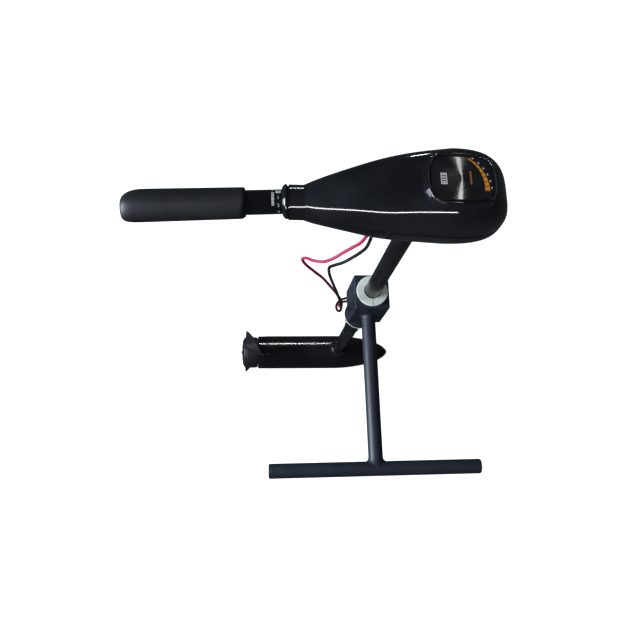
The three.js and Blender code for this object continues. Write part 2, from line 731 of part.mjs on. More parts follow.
function buildLeads(at) {
  part("motor_cable", cable(MOTOR_CABLE, 3.2, 48), blackCable, at);
  const trimmed = (route) => cable(route, LEAD_R, 56);
  const centreX = 18;
  part("red_hank", hank(centreX, 22), redCable, at);
  part("black_hank", hank(centreX, 37.5), blackCable, at);
  const bundles = [hank(centreX, 22), hank(centreX, 37.5)].map((g) => raisedClear(g));
  part("red_lead", cut(trimmed(RED_ROUTE), bundles[0]), redCable, at);
  part("black_lead", cut(trimmed(BLACK_ROUTE), bundles[1]), blackCable, at);
  const hang = HANK_RUN[0] - 13.5;
  part("red_terminal", terminal(3, 34.5, hang), copper, at);
  part("black_terminal", terminal(3, 50, hang), copper, at);
  const rollers = [[0, 0, 15], [33.5, 24, 3], [33.5, 50.5, 3], [2.5, 50.5, 3]];
  const band = (extra) => beltOutline(rollers.map(([x, y, r]) => [x, y, r + extra]));
  const tie = cut(raised(band(1.6), -178.5, -174, 6), raised(band(0.4), -190, -160, 6));
  part("cable_tie", tie, nitrile, at);
}

// The same bundle, a gap larger all round, to trim the end of the lead that enters it.
function raisedClear(geometry) {
  geometry.computeBoundingBox();
  const centre = geometry.boundingBox.getCenter(new THREE.Vector3());
  const size = geometry.boundingBox.getSize(new THREE.Vector3());
  const grow = [size.x, size.y, size.z].map((s) => (s + 2 * GAP) / s);
  const [x, y, z] = centre.toArray();
  return geometry.translate(-x, -y, -z).scale(...grow).translate(x, y, z);
}

// ---------------------------------------------------------------- assembly
buildCrossbar();
buildStem();
const shaftGroup = group(0, SHAFT_Y, 0);
buildBlock(shaftGroup);
buildBushes(shaftGroup);
part("main_shaft", ring(SHAFT_BORE, SHAFT_R, SHAFT_BOTTOM, SHAFT_TOP, 28), shaftBlack, shaftGroup);

const motorGroup = group(0, SHAFT_Y, MOTOR_Z);
motorGroup.rotation.y = Math.PI / 2;
buildHousing(motorGroup);
buildEndCap(motorGroup);
buildNose(motorGroup);
buildStator(motorGroup);
buildRotor(motorGroup);
buildBearings(motorGroup);
buildBrushes(motorGroup);
buildThroughBolts(motorGroup);
buildPropeller(motorGroup);

buildHeadShells(shaftGroup);
buildDisplay(shaftGroup);
buildHeadInsides(shaftGroup);
buildTiller(shaftGroup);
buildLeads(shaftGroup);

export default model;
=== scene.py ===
"""A hand-steered electric trolling motor on a T-shaped tube bracket, dressed over its CAD frame.

Every visible piece is a surface written as arrays: rings of points round an axis, or a section moved
along a path. Lengths are in millimetres until a mesh is made, and +Z runs up the shaft.
"""

# %% [markdown]
# # Setting up
# The frame holds the real sizes and the moving bodies. Each piece below is placed by the same numbers as
# the CAD and rides on one of its bodies, so that it moves as the real piece does. The shaft's distance
# from the crossbar and the height of the motor's axis are the two that most pieces need.

import bpy
import numpy as np
from mathutils import Matrix, Vector


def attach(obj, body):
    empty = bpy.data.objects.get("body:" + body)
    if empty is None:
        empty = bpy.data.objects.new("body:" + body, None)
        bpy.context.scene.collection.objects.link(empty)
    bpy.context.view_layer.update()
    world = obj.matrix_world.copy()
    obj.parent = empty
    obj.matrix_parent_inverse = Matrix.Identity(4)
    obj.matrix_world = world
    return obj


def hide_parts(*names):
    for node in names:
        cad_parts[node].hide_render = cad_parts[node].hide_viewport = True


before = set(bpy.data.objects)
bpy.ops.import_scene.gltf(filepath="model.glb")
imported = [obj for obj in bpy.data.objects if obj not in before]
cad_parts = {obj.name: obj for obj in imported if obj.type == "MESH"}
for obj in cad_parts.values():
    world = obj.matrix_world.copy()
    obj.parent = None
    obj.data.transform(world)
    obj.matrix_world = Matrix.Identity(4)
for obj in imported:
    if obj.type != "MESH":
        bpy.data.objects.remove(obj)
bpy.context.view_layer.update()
SHAFT_Y = 312.0
MOTOR_Z = -422.0
TAU = 2 * np.pi

# %% [markdown]
# ## Camera
# The camera stands above the head and looks almost straight down the shaft, so the head is nearest the
# lens and looks large beside the motor pod. Its three axes are worked out from the way it looks and
# from a rough upward direction, because two cross products always give a true right angle.

# %% Camera
CAMERA_AT = [-0.243, -0.084, 1.237]
ahead = np.array([0.1174, 0.2748, -0.9541])
upward = np.array([0.0, 0.961, 0.2767])
ahead /= np.linalg.norm(ahead)
side = np.cross(ahead, upward)
side /= np.linalg.norm(side)
upward = np.cross(side, ahead)
camera = bpy.data.objects.new("camera", bpy.data.cameras.new("camera"))
camera.data.lens = 39.375
camera.data.sensor_width = 36
camera.data.clip_end = 20
camera.matrix_world = Matrix(np.vstack([
    np.column_stack([side, upward, -ahead, CAMERA_AT]), [0, 0, 0, 1]]).tolist())
bpy.context.scene.collection.objects.link(camera)
bpy.context.scene.camera = camera
print("camera looks along", ahead.round(3))

# %% [markdown]
# ## Writing surfaces
# Nearly every piece of a motor is turned, extruded or moulded, so it can be written as a grid of points:
# one direction runs round the piece and the other along it. Joining each row to the next makes the mesh.
# This keeps every size an exact number, where pushing points by hand would not.


# %% Surface helpers
def grid(points, rows_close=False, columns_close=True, caps=True):
    """Points (m, n, 3) joined into quads: point [i, j] to [i + 1, j], [i + 1, j + 1] and [i, j + 1]."""
    m, n = points.shape[:2]
    index = np.arange(m * n).reshape(m, n)
    if rows_close:
        index = np.vstack([index, index[:1]])
    if columns_close:
        index = np.hstack([index, index[:, :1]])
    quads = np.stack([index[:-1, :-1], index[:-1, 1:], index[1:, 1:], index[1:, :-1]], -1).reshape(-1, 4)
    faces = quads.tolist()
    if caps and not rows_close:
        faces += [list(range(n))[::-1], list(range((m - 1) * n, m * n))]
    return points.reshape(-1, 3), faces


def outward(points, faces):
    """The same faces, all reversed if together they enclose a negative volume."""
    fans = [(f[0], f[i], f[i + 1]) for f in faces for i in range(1, len(f) - 1)]
    a, b, c = (points[np.array(fans)[:, k]] for k in range(3))
    total = np.einsum("ij,ij->i", a, np.cross(b, c)).sum()
    return faces if total > 0 else [f[::-1] for f in faces]


def joined(surfaces):
    """Several surfaces as one list of points and one of faces, each face's numbers moved on past the last."""
    points, faces, first = [], [], 0
    for surface_points, surface_faces in surfaces:
        faces += [[v + first for v in f] for f in surface_faces]
        points.append(surface_points)
        first += len(surface_points)
    return np.concatenate(points), faces


def placed(name, surfaces, material, body):
    """One object from surfaces in millimetres, on its moving body and in its material slot."""
    points, faces = joined(surfaces)
    mesh = bpy.data.meshes.new(name)
    mesh.from_pydata(points / 1000, [], faces)
    mesh.materials.append(material)
    made = bpy.data.objects.new(name, mesh)
    bpy.context.scene.collection.objects.link(made)
    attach(made, body)
    print(f"{name}: {len(mesh.vertices)} points")
    return made


def piece(name, surfaces, material, body, nodes, crease=32):
    """A solid piece from closed surfaces, standing for its CAD nodes. Edges over crease degrees stay sharp."""
    made = placed(name, [(p, outward(p, f)) for p, f in surfaces], material, body)
    made.data.polygons.foreach_set("use_smooth", np.ones(len(made.data.polygons), bool))
    made.data.set_sharp_from_angle(angle=np.radians(crease))
    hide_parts(*nodes)
    return made


def soften(outline, radius=1.0, steps=4, closed=False):
    """A polyline whose corners become small curves, with a holding point either side of each."""
    p = np.asarray(outline, float)
    out = []
    for i, corner in enumerate(p):
        if not closed and i in (0, len(p) - 1):
            out.append(corner[None])
            continue
        back, on = p[i - 1] - corner, p[(i + 1) % len(p)] - corner
        long_back, long_on = np.linalg.norm(back), np.linalg.norm(on)
        reach = min(radius, 0.4 * long_back, 0.4 * long_on)
        start, end = corner + back / long_back * reach, corner + on / long_on * reach
        t = np.linspace(0, 1, steps + 1)[:, None]
        curve = (1 - t) ** 2 * start + 2 * t * (1 - t) * corner + t**2 * end
        hold = corner + np.stack([back / long_back, on / long_on]) * reach * 1.2
        out += [hold[:1], curve, hold[1:]]
    return np.concatenate(out)


AXES = {"x": (1, 2, 0), "y": (2, 0, 1), "z": (0, 1, 2)}


def turned(profile, axis="z", centre=(0, 0, 0), sides=96, closed=False):
    """A lathe surface. The profile is [radius, distance along the axis]; closed makes it a ring."""
    angle = np.arange(sides) / sides * TAU
    radius, along = np.asarray(profile, float).T
    across, over, length = AXES[axis]
    points = np.empty((len(radius), sides, 3))
    points[..., across] = radius[:, None] * np.cos(angle)
    points[..., over] = radius[:, None] * np.sin(angle)
    points[..., length] = along[:, None]
    return grid(points + np.array(centre), rows_close=closed)


def through(known_x, known_y, x):
    """A smooth curve through known points, read at x, that never overshoots them."""
    kx, ky = np.asarray(known_x, float), np.asarray(known_y, float)
    step = np.diff(kx)
    rise = np.diff(ky) / step
    slope = np.concatenate([rise[:1], (rise[1:] + rise[:-1]) / 2, rise[-1:]])
    limit = 3 * np.minimum(np.abs(np.r_[rise[0], rise]), np.abs(np.r_[rise, rise[-1]]))
    slope = np.sign(slope) * np.minimum(np.abs(slope), limit)
    i = np.clip(np.searchsorted(kx, x) - 1, 0, len(step) - 1)
    t = (x - kx[i]) / step[i]
    return (ky[i] * (1 + 2 * t) * (1 - t) ** 2 + ky[i + 1] * t**2 * (3 - 2 * t)
            + step[i] * (slope[i] * t * (1 - t) ** 2 + slope[i + 1] * t**2 * (t - 1)))


def smooth_path(points, spacing=2.5):
    """A curve through the points, read at even distances along it.

    Each span mixes straight lines through four points in turn, in three rounds, each mix weighted by the
    distance to its two ends. Distances count as square roots, which keeps close points from making loops.
    """
    p = np.asarray(points, float)
    knots = np.r_[0, np.cumsum(np.linalg.norm(np.diff(p, axis=0), axis=1) ** 0.5)]
    p = np.vstack([2 * p[0] - p[1], p, 2 * p[-1] - p[-2]])
    knots = np.r_[2 * knots[0] - knots[1], knots, 2 * knots[-1] - knots[-2]]
    fine = np.linspace(knots[1], knots[-2], 60 * len(points))
    i = np.clip(np.searchsorted(knots, fine, side="right") - 1, 1, len(knots) - 3)
    t = [knots[i + k][:, None] for k in (-1, 0, 1, 2)]
    q = [p[i + k] for k in (-1, 0, 1, 2)]
    at = fine[:, None]

    def mix(a, b, ta, tb):
        return ((tb - at) * a + (at - ta) * b) / (tb - ta)

    a = [mix(q[k], q[k + 1], t[k], t[k + 1]) for k in range(3)]
    b = [mix(a[0], a[1], t[0], t[2]), mix(a[1], a[2], t[1], t[3])]
    curve = mix(b[0], b[1], t[1], t[2])
    length = np.r_[0, np.cumsum(np.linalg.norm(np.diff(curve, axis=0), axis=1))]
    even = np.linspace(0, length[-1], max(2, round(length[-1] / spacing)))
    return np.column_stack([np.interp(even, length, curve[:, k]) for k in range(3)])


def spline_loop(control, per_span=14):
    """A closed curve of parabolas whose joints are the middles of the control polygon's sides."""
    a = (control + np.roll(control, 1, 0)) / 2
    b = (control + np.roll(control, -1, 0)) / 2
    t = (np.arange(per_span) / per_span)[None, :, None]
    curve = (1 - t) ** 2 * a[:, None] + 2 * t * (1 - t) * control[:, None] + t**2 * b[:, None]
    return curve.reshape(-1, 2)


def swept(path, section):
    """A flat section (n, 2) carried along a path without twisting, with a flat cap at each end."""
    path = np.asarray(path, float)
    along = np.gradient(path, axis=0)
    along /= np.linalg.norm(along, axis=1)[:, None]
    across = np.empty_like(path)
    start = np.cross(along[0], [0.0, 1.0, 0.0])
    if np.linalg.norm(start) < 0.3:
        start = np.cross(along[0], [1.0, 0.0, 0.0])
    for i, direction in enumerate(along):
        start = start - direction * (start @ direction)
        start /= np.linalg.norm(start)
        across[i] = start
    over = np.cross(along, across)
    section = np.asarray(section, float)
    return grid(path[:, None] + across[:, None] * section[None, :, :1] + over[:, None] * section[None, :, 1:])


def circle(radius, sides):
    """Points at radius times the cosine and sine of even angles."""
    angle = np.arange(sides) / sides * TAU
    return radius * np.column_stack([np.cos(angle), np.sin(angle)])


def path_length(path):
    """The distances between neighbouring points, added up."""
    return float(np.linalg.norm(np.diff(path, axis=0), axis=1).sum())


# %% [markdown]
# ## Writing materials
# A finish is one shader fed by a few fields. A field is a number or colour that varies over the piece.
# Nodes could be joined one by one, but then the sum they do is hard to read. Here ordinary arithmetic on
# fields adds the Math nodes, so a finish reads as the formula that it is.


# %% Material helpers
class Field:
    """One socket of a material. + - * and the methods below add the nodes that do the sum."""

    def __init__(self, recipe, socket):
        self.recipe, self.socket = recipe, socket

    def math(self, operation, *values):
        """One Math node: this field first, then the values."""
        inputs = dict(enumerate((self, *values)))
        return self.recipe.node("ShaderNodeMath", {"operation": operation}, inputs)

    def __add__(self, other):
        return self.math("ADD", other)

    def __sub__(self, other):
        return self.math("SUBTRACT", other)

    def __mul__(self, other):
        return self.math("MULTIPLY", other)

    def __rsub__(self, other):
        return self * -1 + other

    __radd__ = __add__
    __rmul__ = __mul__

    def between(self, low, high, soft):
        """1 where the field lies from low to high, falling to 0 over the width soft."""
        rise = self.recipe.node("ShaderNodeMapRange", {"clamp": True}, {0: self, 1: low - soft, 2: low + soft})
        fall = self.recipe.node("ShaderNodeMapRange", {"clamp": True},
                                {0: self, 1: high - soft, 2: high + soft, 3: 1.0, 4: 0.0})
        return rise * fall

    def scaled(self, low, high, new_low=0.0, new_high=1.0):
        """The field moved from the range low to high to the new range, and held at its ends."""
        return self.recipe.node("ShaderNodeMapRange", {"clamp": True},
                                {0: self, 1: low, 2: high, 3: new_low, 4: new_high})


class Recipe:
    """A material being written. Constants go straight on the shader, fields are linked to it."""

    def __init__(self, name, **constants):
        self.material = bpy.data.materials.new(name)
        self.material.use_nodes = True
        self.tree = self.material.node_tree
        self.shader = self.tree.nodes["Principled BSDF"]
        for key, value in constants.items():
            socket = self.shader.inputs[key.replace("_", " ").title().replace("Ior", "IOR")]
            socket.default_value = (*value, 1) if isinstance(value, tuple) else value

    def node(self, kind, settings=None, inputs=None, output=0):
        """Any node: its settings first, then the values or fields of its sockets."""
        made = self.tree.nodes.new(kind)
        for key, value in (settings or {}).items():
            setattr(made, key, value)
        for key, value in (inputs or {}).items():
            self.feed(made.inputs[key], value)
        return Field(self, made.outputs[output])

    def feed(self, socket, value):
        """Links a field to a socket, or sets a plain value on it."""
        if isinstance(value, Field):
            self.tree.links.new(value.socket, socket)
        else:
            socket.default_value = value

    def place(self):
        """The point on the piece, in metres, fixed to the piece."""
        return self.node("ShaderNodeTexCoord", output="Object")

    def parts(self, vector):
        """The X, Y and Z of a vector field."""
        split = self.node("ShaderNodeSeparateXYZ", inputs={0: vector}).socket.node
        return [Field(self, split.outputs[k]) for k in range(3)]

    def noise(self, scale, detail=3.0, stretch=None):
        """Cloudy noise from 0 to 1, with `scale` features to the metre."""
        where = self.place()
        if stretch:
            where = self.node("ShaderNodeVectorMath", {"operation": "MULTIPLY"}, {0: where, 1: stretch})
        return self.node("ShaderNodeTexNoise", inputs={
            "Vector": where, "Scale": scale, "Detail": detail})

    def mix(self, amount, first, second):
        """Colour = first x (1 - amount) + second x amount."""
        made = self.node("ShaderNodeMix", {"data_type": "RGBA"}).socket.node
        first, second = ((*c, 1) if isinstance(c, tuple) else c for c in (first, second))
        for key, value in ((0, amount), (6, first), (7, second)):
            self.feed(made.inputs[key], value)
        return Field(self, made.outputs[2])

    def bump(self, height, millimetres, strength=1.0):
        """Tilts the normal by the slope of the height, as if the surface rose by that many millimetres."""
        field = self.node("ShaderNodeBump", inputs={
            "Strength": strength, "Distance": millimetres / 1000, "Height": height})
        self.feed(self.shader.inputs["Normal"], field)

    def set(self, **fields):
        """Feeds fields to the shader's sockets and gives back the finished material."""
        for key, value in fields.items():
            self.feed(self.shader.inputs[key.replace("_", " ").title()], value)
        return self.material


# %% [markdown]
# ## Finishes
# The head is polished plastic, the pod and shaft are enamelled and the bracket is powder coated. Handling
# leaves a faint bloom on gloss black: the polish changes, so cloudy noise drives the roughness, and the same
# noise lifts the colour to a faint bluish grey, a painted reflection. Powder coat is lighter on its grain and
# never mirrors, so its noise is a bump.

# %% Black plastic, enamel and paint
def gloss_black(name, color, low, high, peel):
    """Roughness goes from low to high where it is smudged, and there the colour is lifted to a faint bluish
    grey, a painted reflection. The peel is a ripple's height in millimetres.
    """
    recipe = Recipe(name, base_color=color, specular_ior_level=0.5)
    smudge_and_painted_sheen = recipe.noise(14, 4.0).scaled(0.42, 0.72)
    fine = recipe.noise(900, 2.0)
    dust = recipe.noise(2600, 1.0).scaled(0.70, 0.78)
    recipe.bump(fine, peel, 0.35)
    # painted reflection: the smudge noise lifts the black towards a faint bluish grey, standing in for cloudy
    # reflections
    base = recipe.mix(smudge_and_painted_sheen * 0.5, color, (0.012, 0.014, 0.017))
    return recipe.set(base_color=recipe.mix(dust * 0.12, base, (0.12, 0.12, 0.12)),
                      roughness=smudge_and_painted_sheen * (high - low) + low)


def powder_coat(name, color, lighter, rough=0.42):
    """Roughness is rough, plus a little where the coat is cloudy or grainy."""
    recipe = Recipe(name, base_color=color)
    cloud = recipe.noise(22, 3.0).scaled(0.35, 0.7)
    grain = recipe.noise(1500, 2.0)
    coarse = recipe.noise(420, 2.0)
    recipe.bump(grain * 0.5 + coarse * 0.5, 0.06, 0.5)
    return recipe.set(base_color=recipe.mix(cloud * 0.6 + grain * 0.25, color, lighter),
                      roughness=cloud * 0.08 + grain * 0.06 + rough)


head_black = gloss_black("head gloss", (0.0035, 0.004, 0.005), 0.06, 0.15, 0.012)
enamel_black = gloss_black("motor enamel", (0.004, 0.0045, 0.0055), 0.13, 0.24, 0.03)
shaft_black = gloss_black("shaft paint", (0.006, 0.006, 0.0065), 0.2, 0.32, 0.02)
moulded_black = gloss_black("moulded black", (0.008, 0.008, 0.009), 0.32, 0.45, 0.03)
slate_paint = powder_coat("slate powder coat", (0.013, 0.017, 0.026), (0.018, 0.023, 0.035))


# %% [markdown]
# The grip and the seals are moulded rubber, the bushes turned nylon, and the leads are covered in vinyl.
# Rubber scatters light in a wide soft lobe, and its grain is finer than a millimetre. The lathe leaves
# fine rings on the nylon, which are the sine of the distance from the shaft's axis.

# %% Rubber, nylon and vinyl
def rubber(name, color, lighter, rough):
    """Patches change the colour, and patches and pores together add to the roughness."""
    recipe = Recipe(name, base_color=color, specular_ior_level=0.4)
    patch = recipe.noise(26, 3.0).scaled(0.3, 0.75)
    pores = recipe.noise(2200, 2.0)
    recipe.bump(pores, 0.12, 0.55)
    return recipe.set(base_color=recipe.mix(patch, color, lighter),
                      roughness=patch * 0.1 + pores * 0.08 + rough)


grip_rubber = rubber("grip rubber", (0.010, 0.011, 0.013), (0.016, 0.017, 0.020), 0.42)
seal_rubber = rubber("seal rubber", (0.010, 0.010, 0.010), (0.018, 0.018, 0.018), 0.6)


def turned_nylon():
    """Bump = sine(9000 x distance from the axis in metres). The stain darkens and dulls it."""
    recipe = Recipe("white nylon", base_color=(0.66, 0.64, 0.56), subsurface_weight=0.12)
    x, y, _ = recipe.parts(recipe.place())
    y = y - SHAFT_Y / 1000
    radius = (x * x + y * y).math("SQRT")
    rings = (radius * 9000).math("SINE")
    stain = recipe.noise(60, 4.0).scaled(0.4, 0.75)
    recipe.bump(rings, 0.02, 0.4)
    return recipe.set(base_color=recipe.mix(stain * 0.6, (0.86, 0.86, 0.77), (0.70, 0.69, 0.60)),
                      roughness=stain * 0.15 + 0.35)


def vinyl(name, color, darker):
    """A colour that goes a little darker and duller in soft patches."""
    recipe = Recipe(name, base_color=color, subsurface_weight=0.05)
    patch = recipe.noise(120, 2.0).scaled(0.35, 0.7)
    recipe.bump(recipe.noise(1800, 2.0), 0.03, 0.4)
    return recipe.set(base_color=recipe.mix(patch * 0.7, color, darker), roughness=patch * 0.12 + 0.28)


white_nylon = turned_nylon()
red_vinyl = vinyl("red vinyl", (0.50, 0.028, 0.095), (0.38, 0.012, 0.055))
black_vinyl = vinyl("black vinyl", (0.008, 0.008, 0.009), (0.013, 0.013, 0.014))


# %% [markdown]
# Steel, copper and the armature's laminated iron keep their lathe or rolling marks, as fine lines along
# the way they were worked. Noise squeezed along one axis and stretched along another gives such lines
# with no picture of metal, and a second, slower noise tarnishes it.

# %% Metals and insulating parts
def metal(name, color, rough, stretch, lines=700):
    """The noise is read at the place times the stretch, so a small number draws long lines along that axis."""
    recipe = Recipe(name, base_color=color, metallic=1.0)
    mark = recipe.noise(lines, 2.0, stretch)
    tarnish = recipe.noise(45, 4.0).scaled(0.45, 0.8)
    darker = tuple(c * 0.55 for c in color)
    recipe.bump(mark, 0.03, 0.3)
    return recipe.set(base_color=recipe.mix(tarnish * 0.6, color, darker),
                      roughness=mark * 0.15 + tarnish * 0.1 + rough)


def matt(name, color, lighter, rough=0.6, scale=300):
    """One noise moves the colour to the lighter one, raises the roughness and makes the bump."""
    recipe = Recipe(name, base_color=color)
    patch = recipe.noise(scale, 3.0)
    recipe.bump(patch, 0.08, 0.4)
    return recipe.set(base_color=recipe.mix(patch, color, lighter), roughness=patch * 0.15 + rough)


bright_steel = metal("bright steel", (0.55, 0.56, 0.58), 0.22, (0.05, 1.0, 1.0))
laminated_steel = metal("laminated steel", (0.22, 0.22, 0.23), 0.4, (1.0, 0.02, 0.02), 2500)
copper_wire = metal("copper wire", (0.60, 0.24, 0.10), 0.25, (1.0, 0.25, 0.25), 1400)
tinned_copper = metal("tinned copper", (0.58, 0.56, 0.52), 0.28, (1.0, 1.0, 0.1))
ferrite = matt("ferrite", (0.04, 0.04, 0.043), (0.07, 0.07, 0.075))
carbon = matt("carbon", (0.012, 0.012, 0.013), (0.03, 0.03, 0.032), 0.5, 900)
red_fibre = matt("red fibre", (0.42, 0.015, 0.03), (0.55, 0.03, 0.05), 0.55, 1200)
board_green = matt("board lacquer", (0.010, 0.10, 0.045), (0.02, 0.15, 0.07), 0.3, 500)

# %% [markdown]
# # Leads
# Two battery leads leave the head, swing out in stiff loops, and are folded into a hank behind the
# shaft for storage. A lead could be a curve with a bevel, but a circle carried along a line that is known
# as points can also be measured: its length and its tightest bend are facts of the real cord.

# %% Routes, in the frame of the shaft
LEAD_R = 2.5
RED_ROUTE = [
    (-65.7, -20, 389), (-65.7, -20, 374), (-66, -22, 357), (-72, -25, 338), (-80, -25, 322),
    (-91, -26, 304), (-104, -28, 284), (-116, -26, 266), (-129, -18, 250), (-138, -8, 234), (-142, -3, 216),
    (-135, -4, 196), (-120, -6, 172), (-101, -8, 142), (-84, -11, 108), (-68, -13, 72), (-55, -14, 36),
    (-50, -14, 0), (-48, -2, -36), (-43, 12, -66), (-30, 24, -88), (-12, 29, -104), (0.5, 26.5, -119),
    (3, 24.5, -133)]
BLACK_ROUTE = [
    (-60.3, -20, 389), (-60.3, -20, 374), (-60.6, -26, 356), (-64, -32, 339), (-71, -34, 322),
    (-80, -35, 305), (-90, -35, 286), (-99, -32, 268), (-104, -28, 248), (-102, -27, 226), (-96, -27, 198),
    (-86, -26, 160), (-73, -26, 112), (-61, -27, 64), (-55, -26, 32), (-53, -22, 0), (-52, -8, -40),
    (-48, 12, -72), (-36, 29.5, -94), (-18, 38.5, -109), (-4, 40.5, -120), (3, 40, -133)]
HANK_X, FOLD = 18.0, 15.0
HANK_TOP, HANK_LOW = -136.0, -216.0
GROMMET_MOUTH = 378.0


def hank_path(low_y, turns=2):
    """A racetrack of straight runs and round folds, moving one cord's width along Y in each turn."""
    run = HANK_TOP - HANK_LOW
    lap = 2 * run + TAU * FOLD
    s = np.linspace(0, turns * lap + run, 420)
    y = low_y + LEAD_R + np.minimum(s / lap, turns) * 2 * LEAD_R
    u = s % lap
    x, z = np.empty_like(u), np.empty_like(u)
    bend = np.pi * FOLD
    down, bottom, up = u < run, (u >= run) & (u < run + bend), (u >= run + bend) & (u < 2 * run + bend)
    top = ~(down | bottom | up)
    x[down], z[down] = HANK_X - FOLD, HANK_TOP - u[down]
    a = (u[bottom] - run) / FOLD
    x[bottom], z[bottom] = HANK_X - FOLD * np.cos(a), HANK_LOW - FOLD * np.sin(a)
    x[up], z[up] = HANK_X + FOLD, HANK_LOW + u[up] - run - bend
    a = (u[top] - 2 * run - bend) / FOLD
    x[top], z[top] = HANK_X + FOLD * np.cos(a), HANK_TOP + FOLD * np.sin(a)
    return np.column_stack([x, y, z])


def lead_path(route, low_y):
    """The smooth route, then the folds of the hank, then a short straight tail down to the terminal."""
    folded = hank_path(low_y)
    tail = folded[-1] + np.outer(np.linspace(4, 18, 5), [0, 0, -1])
    whole = np.vstack([smooth_path(route), folded[1:], tail])
    return whole + [0, SHAFT_Y, 0]


# %% [markdown]
# Each lead ends in a crimped ring terminal: a short barrel, flattened into a tongue with an eye. The
# tongue is stamped sheet, so its outline and its eye are two loops with as many points each, and the
# flat between them is one ring of quads. A Boolean cut would leave long thin faces there.


# %% Ring terminals
def terminal_surfaces(x, y, top):
    """A lathe barrel, and a tongue whose outline and eye are matched point for point."""
    barrel = turned(soften([[1.6, 0], [3.1, 0], [3.1, -5], [2.5, -6.5], [2.5, -8.5], [3.1, -10], [3.1, -13],
                            [2.0, -14.5], [1.6, -14.5]], 0.5), centre=(x, y, top), sides=32, closed=True)
    angle = np.linspace(0, TAU, 48, endpoint=False)
    outer = np.column_stack([6.5 * np.cos(angle), 6.5 * np.sin(angle)])
    neck = np.exp(-(((angle - np.pi / 2) / 0.42) ** 2))
    outer[:, 1] += neck * 8.5
    inner = 4.1 * np.column_stack([np.cos(angle), np.sin(angle)])
    rings = [(outer, 0.55), (outer * 0.985, 0.8), (inner * 1.05, 0.8), (inner, 0.6),
             (inner, -0.6), (inner * 1.05, -0.8), (outer * 0.985, -0.8), (outer, -0.55)]
    eye = top - 27
    points = np.array([np.column_stack([r[:, 0] + x, np.full(48, y + d), r[:, 1] + eye]) for r, d in rings])
    return [barrel, grid(points, rows_close=True)]


BARREL_FROM_FOLD, BARREL_BELOW = 12.5, 13.5
for color, route, low_y, vinyl_finish in (
        ("red", RED_ROUTE, 22, red_vinyl), ("black", BLACK_ROUTE, 37.5, black_vinyl)):
    path = lead_path(route, low_y)
    lead = piece(f"{color}_cable", [swept(path, circle(LEAD_R, 16))], vinyl_finish, "drive",
                 (f"{color}_lead", f"{color}_hank"))
    barrel = terminal_surfaces(HANK_X - FOLD, SHAFT_Y + low_y + BARREL_FROM_FOLD, HANK_LOW - BARREL_BELOW)
    end = piece(f"{color}_ring_terminal", barrel, tinned_copper, "drive", (f"{color}_terminal",))
    print(color, "lead is", round(path_length(path)), "mm long")

# %% [markdown]
# # Bracket
# The crossbar and the stem are 26 mm tube. The saw cuts are square, and a pressed plastic cap closes
# each end with a flange as thin as a coin. Both are lathe shapes: a profile of a few corners, softened
# as a file softens a cut edge, and turned about the bar.

# %% Crossbar and caps
TUBE_R, TUBE_BORE, BAR_END = 13.0, 11.0, 186.5
bar = soften([[TUBE_BORE, -BAR_END], [TUBE_R, -BAR_END], [TUBE_R, BAR_END], [TUBE_BORE, BAR_END]], 0.5,
             closed=True)
piece("crossbar_tube", [turned(bar, "x", closed=True)], slate_paint, "bracket", ("crossbar",))
for name, sign in (("left", -1), ("right", 1)):
    cap = soften([[0.3, 175.5], [10.4, 175.5], [10.7, 186.8], [12.9, 186.8], [12.9, 189], [0.3, 188.98]], 0.9)
    cap[:, 1] *= sign
    piece(f"end_cap_{name}", [turned(cap, "x")], moulded_black, "bracket", (f"crossbar_cap_{name}",))

# %% [markdown]
# The stem meets the crossbar in a fillet of weld metal that the paint has rounded over. Each line down
# the stem bends away from it as a curve with three controls: on the stem, in the corner, on the bar.

# %% Stem with its welds
BLOCK_HALF, BLOCK_CORNER = 32, 3
BLOCK_FRONT = SHAFT_Y - BLOCK_HALF


def weld_ripple(angle, depth):
    """Two sines of 23 and 31 waves a turn, which never line up, as weld beads never do."""
    return depth * (np.sin(angle * 23) + 0.6 * np.sin(angle * 31 + 1.3))


def stem_surface(sides=128):
    """Rings along +Y of radius TUBE_R, joined to the bar by a parabola, flared at the block by a power curve.

    The foot lies on the bar: there the distance round the bar is 1.40 radians times the sine of the angle.
    """
    a = np.arange(sides) / sides * TAU
    cos, sin = np.cos(a), np.sin(a)
    turn = 1.40 * sin
    foot = np.column_stack([(19.0 + weld_ripple(a, 0.12)) * cos, 12.9 * np.cos(turn), 12.9 * np.sin(turn)])
    corner = np.column_stack([13.1 * cos, foot[:, 1] + 1.0, 13.1 * sin])
    top = np.column_stack([TUBE_R * cos, np.maximum(foot[:, 1] + 9, 22.0), TUBE_R * sin])
    t = np.linspace(0, 1, 12)[:, None, None]
    lower = (1 - t) ** 2 * foot + 2 * t * (1 - t) * corner + t**2 * top
    last = BLOCK_FRONT + 0.6
    y = np.r_[np.linspace(26, last - 7, 24), np.linspace(last - 6.4, last, 8)]
    lift = np.clip((y - (last - 6.0)) / 6.0, 0, 1) ** 2.4
    radius = TUBE_R + 4.0 * lift[:, None] + lift[:, None] * weld_ripple(a, 0.15)
    upper = np.stack([radius * cos, np.broadcast_to(y[:, None], radius.shape), radius * sin], -1)
    return grid(np.concatenate([lower, upper]))


piece("stem_tube", [stem_surface()], slate_paint, "bracket", ("bracket_stem",))

# %% [markdown]
# The pivot block is a square bar bored right through, with a round boss turned on its lower end.
# Each ring of points runs round the square and round the bore by the same angles, so the flat
# faces between them need no seams.


# %% Pivot block
def rounded_square(half, corner, per_corner=9, per_side=9):
    """Points round a square with round corners, starting on the +X side."""
    quarter = np.linspace(0, np.pi / 2, per_corner)
    arc = np.column_stack([np.cos(quarter), np.sin(quarter)]) * corner + (half - corner)
    run = np.linspace(-(half - corner), half - corner, per_side + 2)[1:-1]
    edge = np.column_stack([np.full(per_side, half), run])
    first = np.vstack([edge, arc])
    turns = [np.array([[c, s], [-s, c]]) for c, s in ((1, 0), (0, 1), (-1, 0), (0, -1))]
    return np.vstack([first @ turn for turn in turns])


